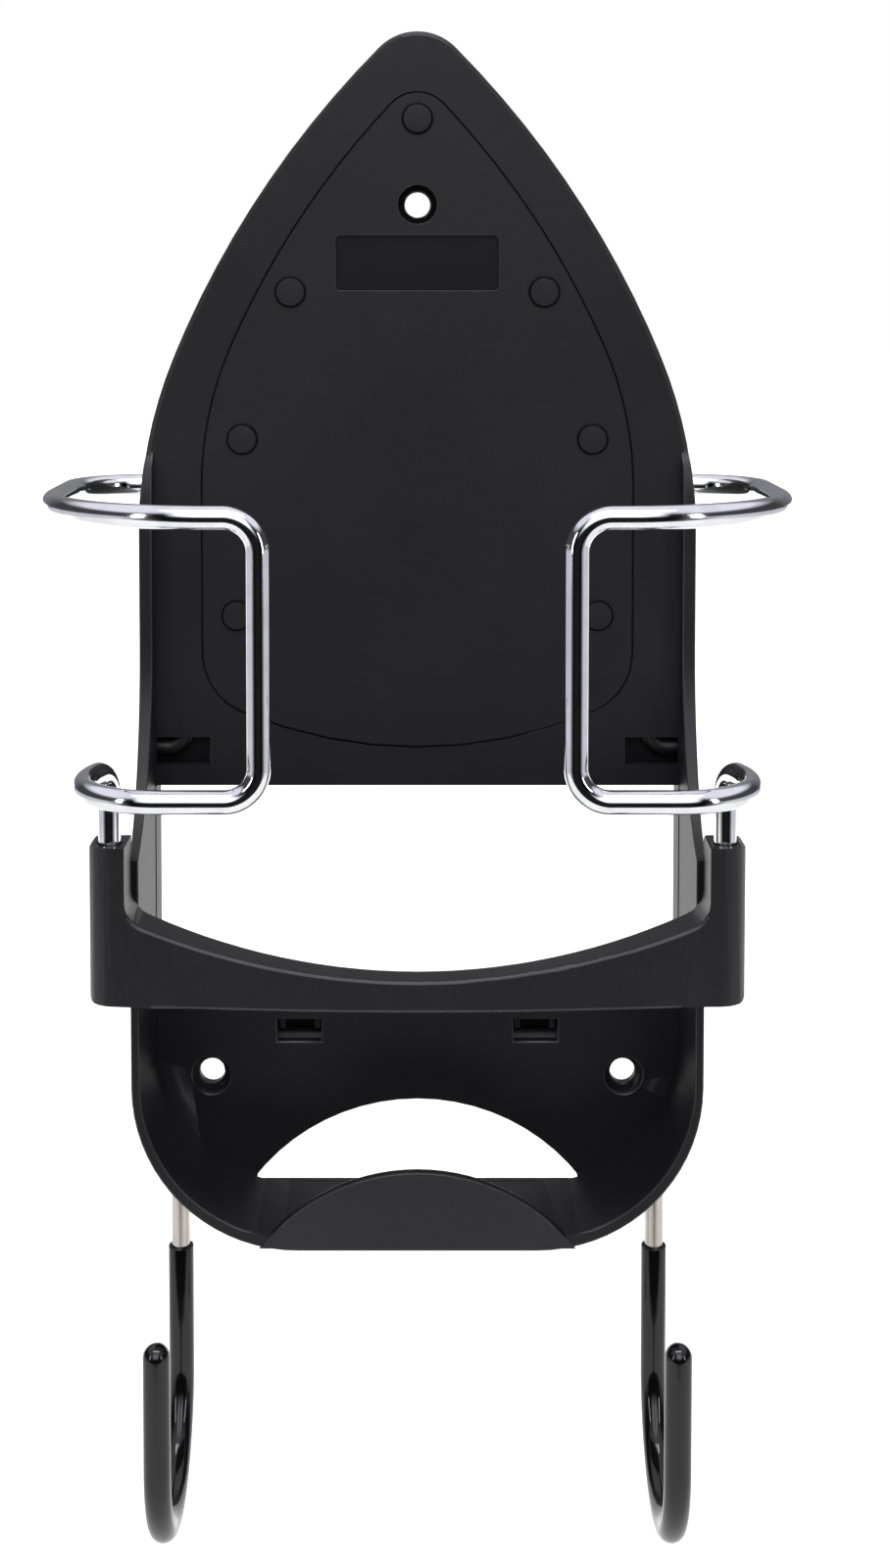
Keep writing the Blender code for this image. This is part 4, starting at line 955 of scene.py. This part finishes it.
# Light: a soft, even surround with a tall soft box on either side of the camera and a broad one above.
# Shiny pieces see a studio that is pale at the sides below, dark there above and white overhead, darker
# behind, and in front dark below and pale above.
SURROUND = 0.80
SIDE_BANDS = ((-0.08, 0.70), (0.02, 0.06), (0.42, 0.06), (0.60, 0.95))
REAR_GREY = 0.25
FRONT_HIGH = 3.50
FRONT_LOW = 0.01
FRONT_RISE = (0.10, 0.40)
FRONT_FADE = (0.22, 0.50)
FRONT_TO_SIDE = (-0.82, -0.35)
SIDE_TO_REAR = (0.60, 0.93)
LAMP_AIM = (0.0, -0.03, -0.03)
SHEEN = (0.91, 0.90, 1.0)
LAMPS = (
    ("left_box", (-0.95, -0.85, 0.20), (0.15, 0.60), 2.2),
    ("right_box", (0.95, -0.85, 0.20), (0.15, 0.60), 2.2),
    ("top_box", (0.0, -0.42, 1.10), (1.1, 0.26), 7.5),
)

world = bpy.data.worlds.new("studio")
scene.world = world
world.use_nodes = True
tree = world.node_tree
background = tree.nodes["Background"]
rays = add(tree, "ShaderNodeLightPath")
way = add(tree, "ShaderNodeTexCoord")
split = add(tree, "ShaderNodeSeparateXYZ", Vector=way.outputs["Generated"])
height = add(
    tree,
    "ShaderNodeMapRange",
    {"From Min": FRONT_RISE[0], "From Max": FRONT_RISE[1], "To Min": FRONT_LOW, "To Max": FRONT_HIGH},
    Value=split.outputs["Z"],
)
aside = add(tree, "ShaderNodeMath", {"operation": "ABSOLUTE"}, _0=split.outputs["X"])
middle = add(
    tree,
    "ShaderNodeMapRange",
    {"From Min": FRONT_FADE[0], "From Max": FRONT_FADE[1], "To Min": 1.0, "To Max": 0.0},
    Value=aside.outputs[0],
)
pale = add(
    tree, "ShaderNodeMath", {"operation": "MULTIPLY"}, _0=height.outputs[0], _1=middle.outputs[0]
)
front = add(
    tree,
    "ShaderNodeMapRange",
    {"From Min": FRONT_TO_SIDE[0], "From Max": FRONT_TO_SIDE[1]},
    Value=split.outputs["Y"],
)
front.interpolation_type = "SMOOTHSTEP"
level = add(tree, "ShaderNodeMapRange", {"From Min": -1.0, "From Max": 1.0}, Value=split.outputs["Z"])
beside = add(tree, "ShaderNodeValToRGB", Fac=level.outputs[0])
stops = beside.color_ramp.elements
while len(stops) < len(SIDE_BANDS):
    stops.new(1.0)
for stop, (z, grey) in zip(stops, SIDE_BANDS):
    stop.position = (z + 1.0) / 2
    stop.color = (grey, grey, grey, 1.0)
behind = add(
    tree,
    "ShaderNodeMapRange",
    {"From Min": SIDE_TO_REAR[0], "From Max": SIDE_TO_REAR[1]},
    Value=split.outputs["Y"],
)
rear = add(
    tree, "ShaderNodeMix", {"data_type": "FLOAT"}, _0=behind.outputs[0], _2=beside.outputs["Color"]
)
rear.inputs[3].default_value = REAR_GREY
seen = add(
    tree,
    "ShaderNodeMix",
    {"data_type": "FLOAT"},
    _0=front.outputs[0],
    _2=pale.outputs[0],
    _3=rear.outputs[0],
)
soft = add(tree, "ShaderNodeMix", {"data_type": "FLOAT"})
tree.links.new(rays.outputs["Is Glossy Ray"], soft.inputs[0])
soft.inputs[2].default_value = SURROUND
tree.links.new(seen.outputs[0], soft.inputs[3])
shown = add(tree, "ShaderNodeMath", {"operation": "MAXIMUM"})
tree.links.new(soft.outputs[0], shown.inputs[0])
tree.links.new(rays.outputs["Is Camera Ray"], shown.inputs[1])
tree.links.new(shown.outputs[0], background.inputs["Strength"])
tint = add(tree, "ShaderNodeMix", {"data_type": "RGBA"}, _0=rays.outputs["Is Glossy Ray"])
tint.inputs[6].default_value = (1.0, 1.0, 1.0, 1.0)
tint.inputs[7].default_value = (*SHEEN, 1.0)
tree.links.new(tint.outputs[2], background.inputs["Color"])

for lamp_name, place, size, power in LAMPS:
    light = bpy.data.lights.new(lamp_name, "AREA")
    light.shape = "RECTANGLE"
    light.size, light.size_y = size
    light.energy = power
    lamp = bpy.data.objects.new(lamp_name, light)
    lamp.location = place
    aim = np.array(LAMP_AIM) - np.array(place)
    reach = math.hypot(aim[0], aim[1])
    lamp.rotation_euler = (math.atan2(reach, -aim[2]), 0.0, math.atan2(-aim[0], aim[1]))
    scene.collection.objects.link(lamp)


# Camera: level with the upper part of the plate and straight in front of it, as the photograph was taken.
CAMERA_DISTANCE = 0.528
CAMERA_Z = 0.0916
CAMERA_TILT = math.radians(2.94)
CAMERA_LENS = 45.8
CAMERA_SENSOR = 36.0
CAMERA_SHIFT = (0.0176, -0.245)
PLATE_FACE = 0.0105

eye = bpy.data.cameras.new("front_camera")
eye.lens = CAMERA_LENS
eye.sensor_width = CAMERA_SENSOR
eye.shift_x, eye.shift_y = CAMERA_SHIFT
camera = bpy.data.objects.new("front_camera", eye)
camera.location = (0.0, -(PLATE_FACE + CAMERA_DISTANCE), CAMERA_Z)
camera.rotation_euler = (math.pi / 2 - CAMERA_TILT, 0.0, 0.0)
scene.collection.objects.link(camera)
scene.camera = camera
scene.view_settings.view_transform = "Standard"
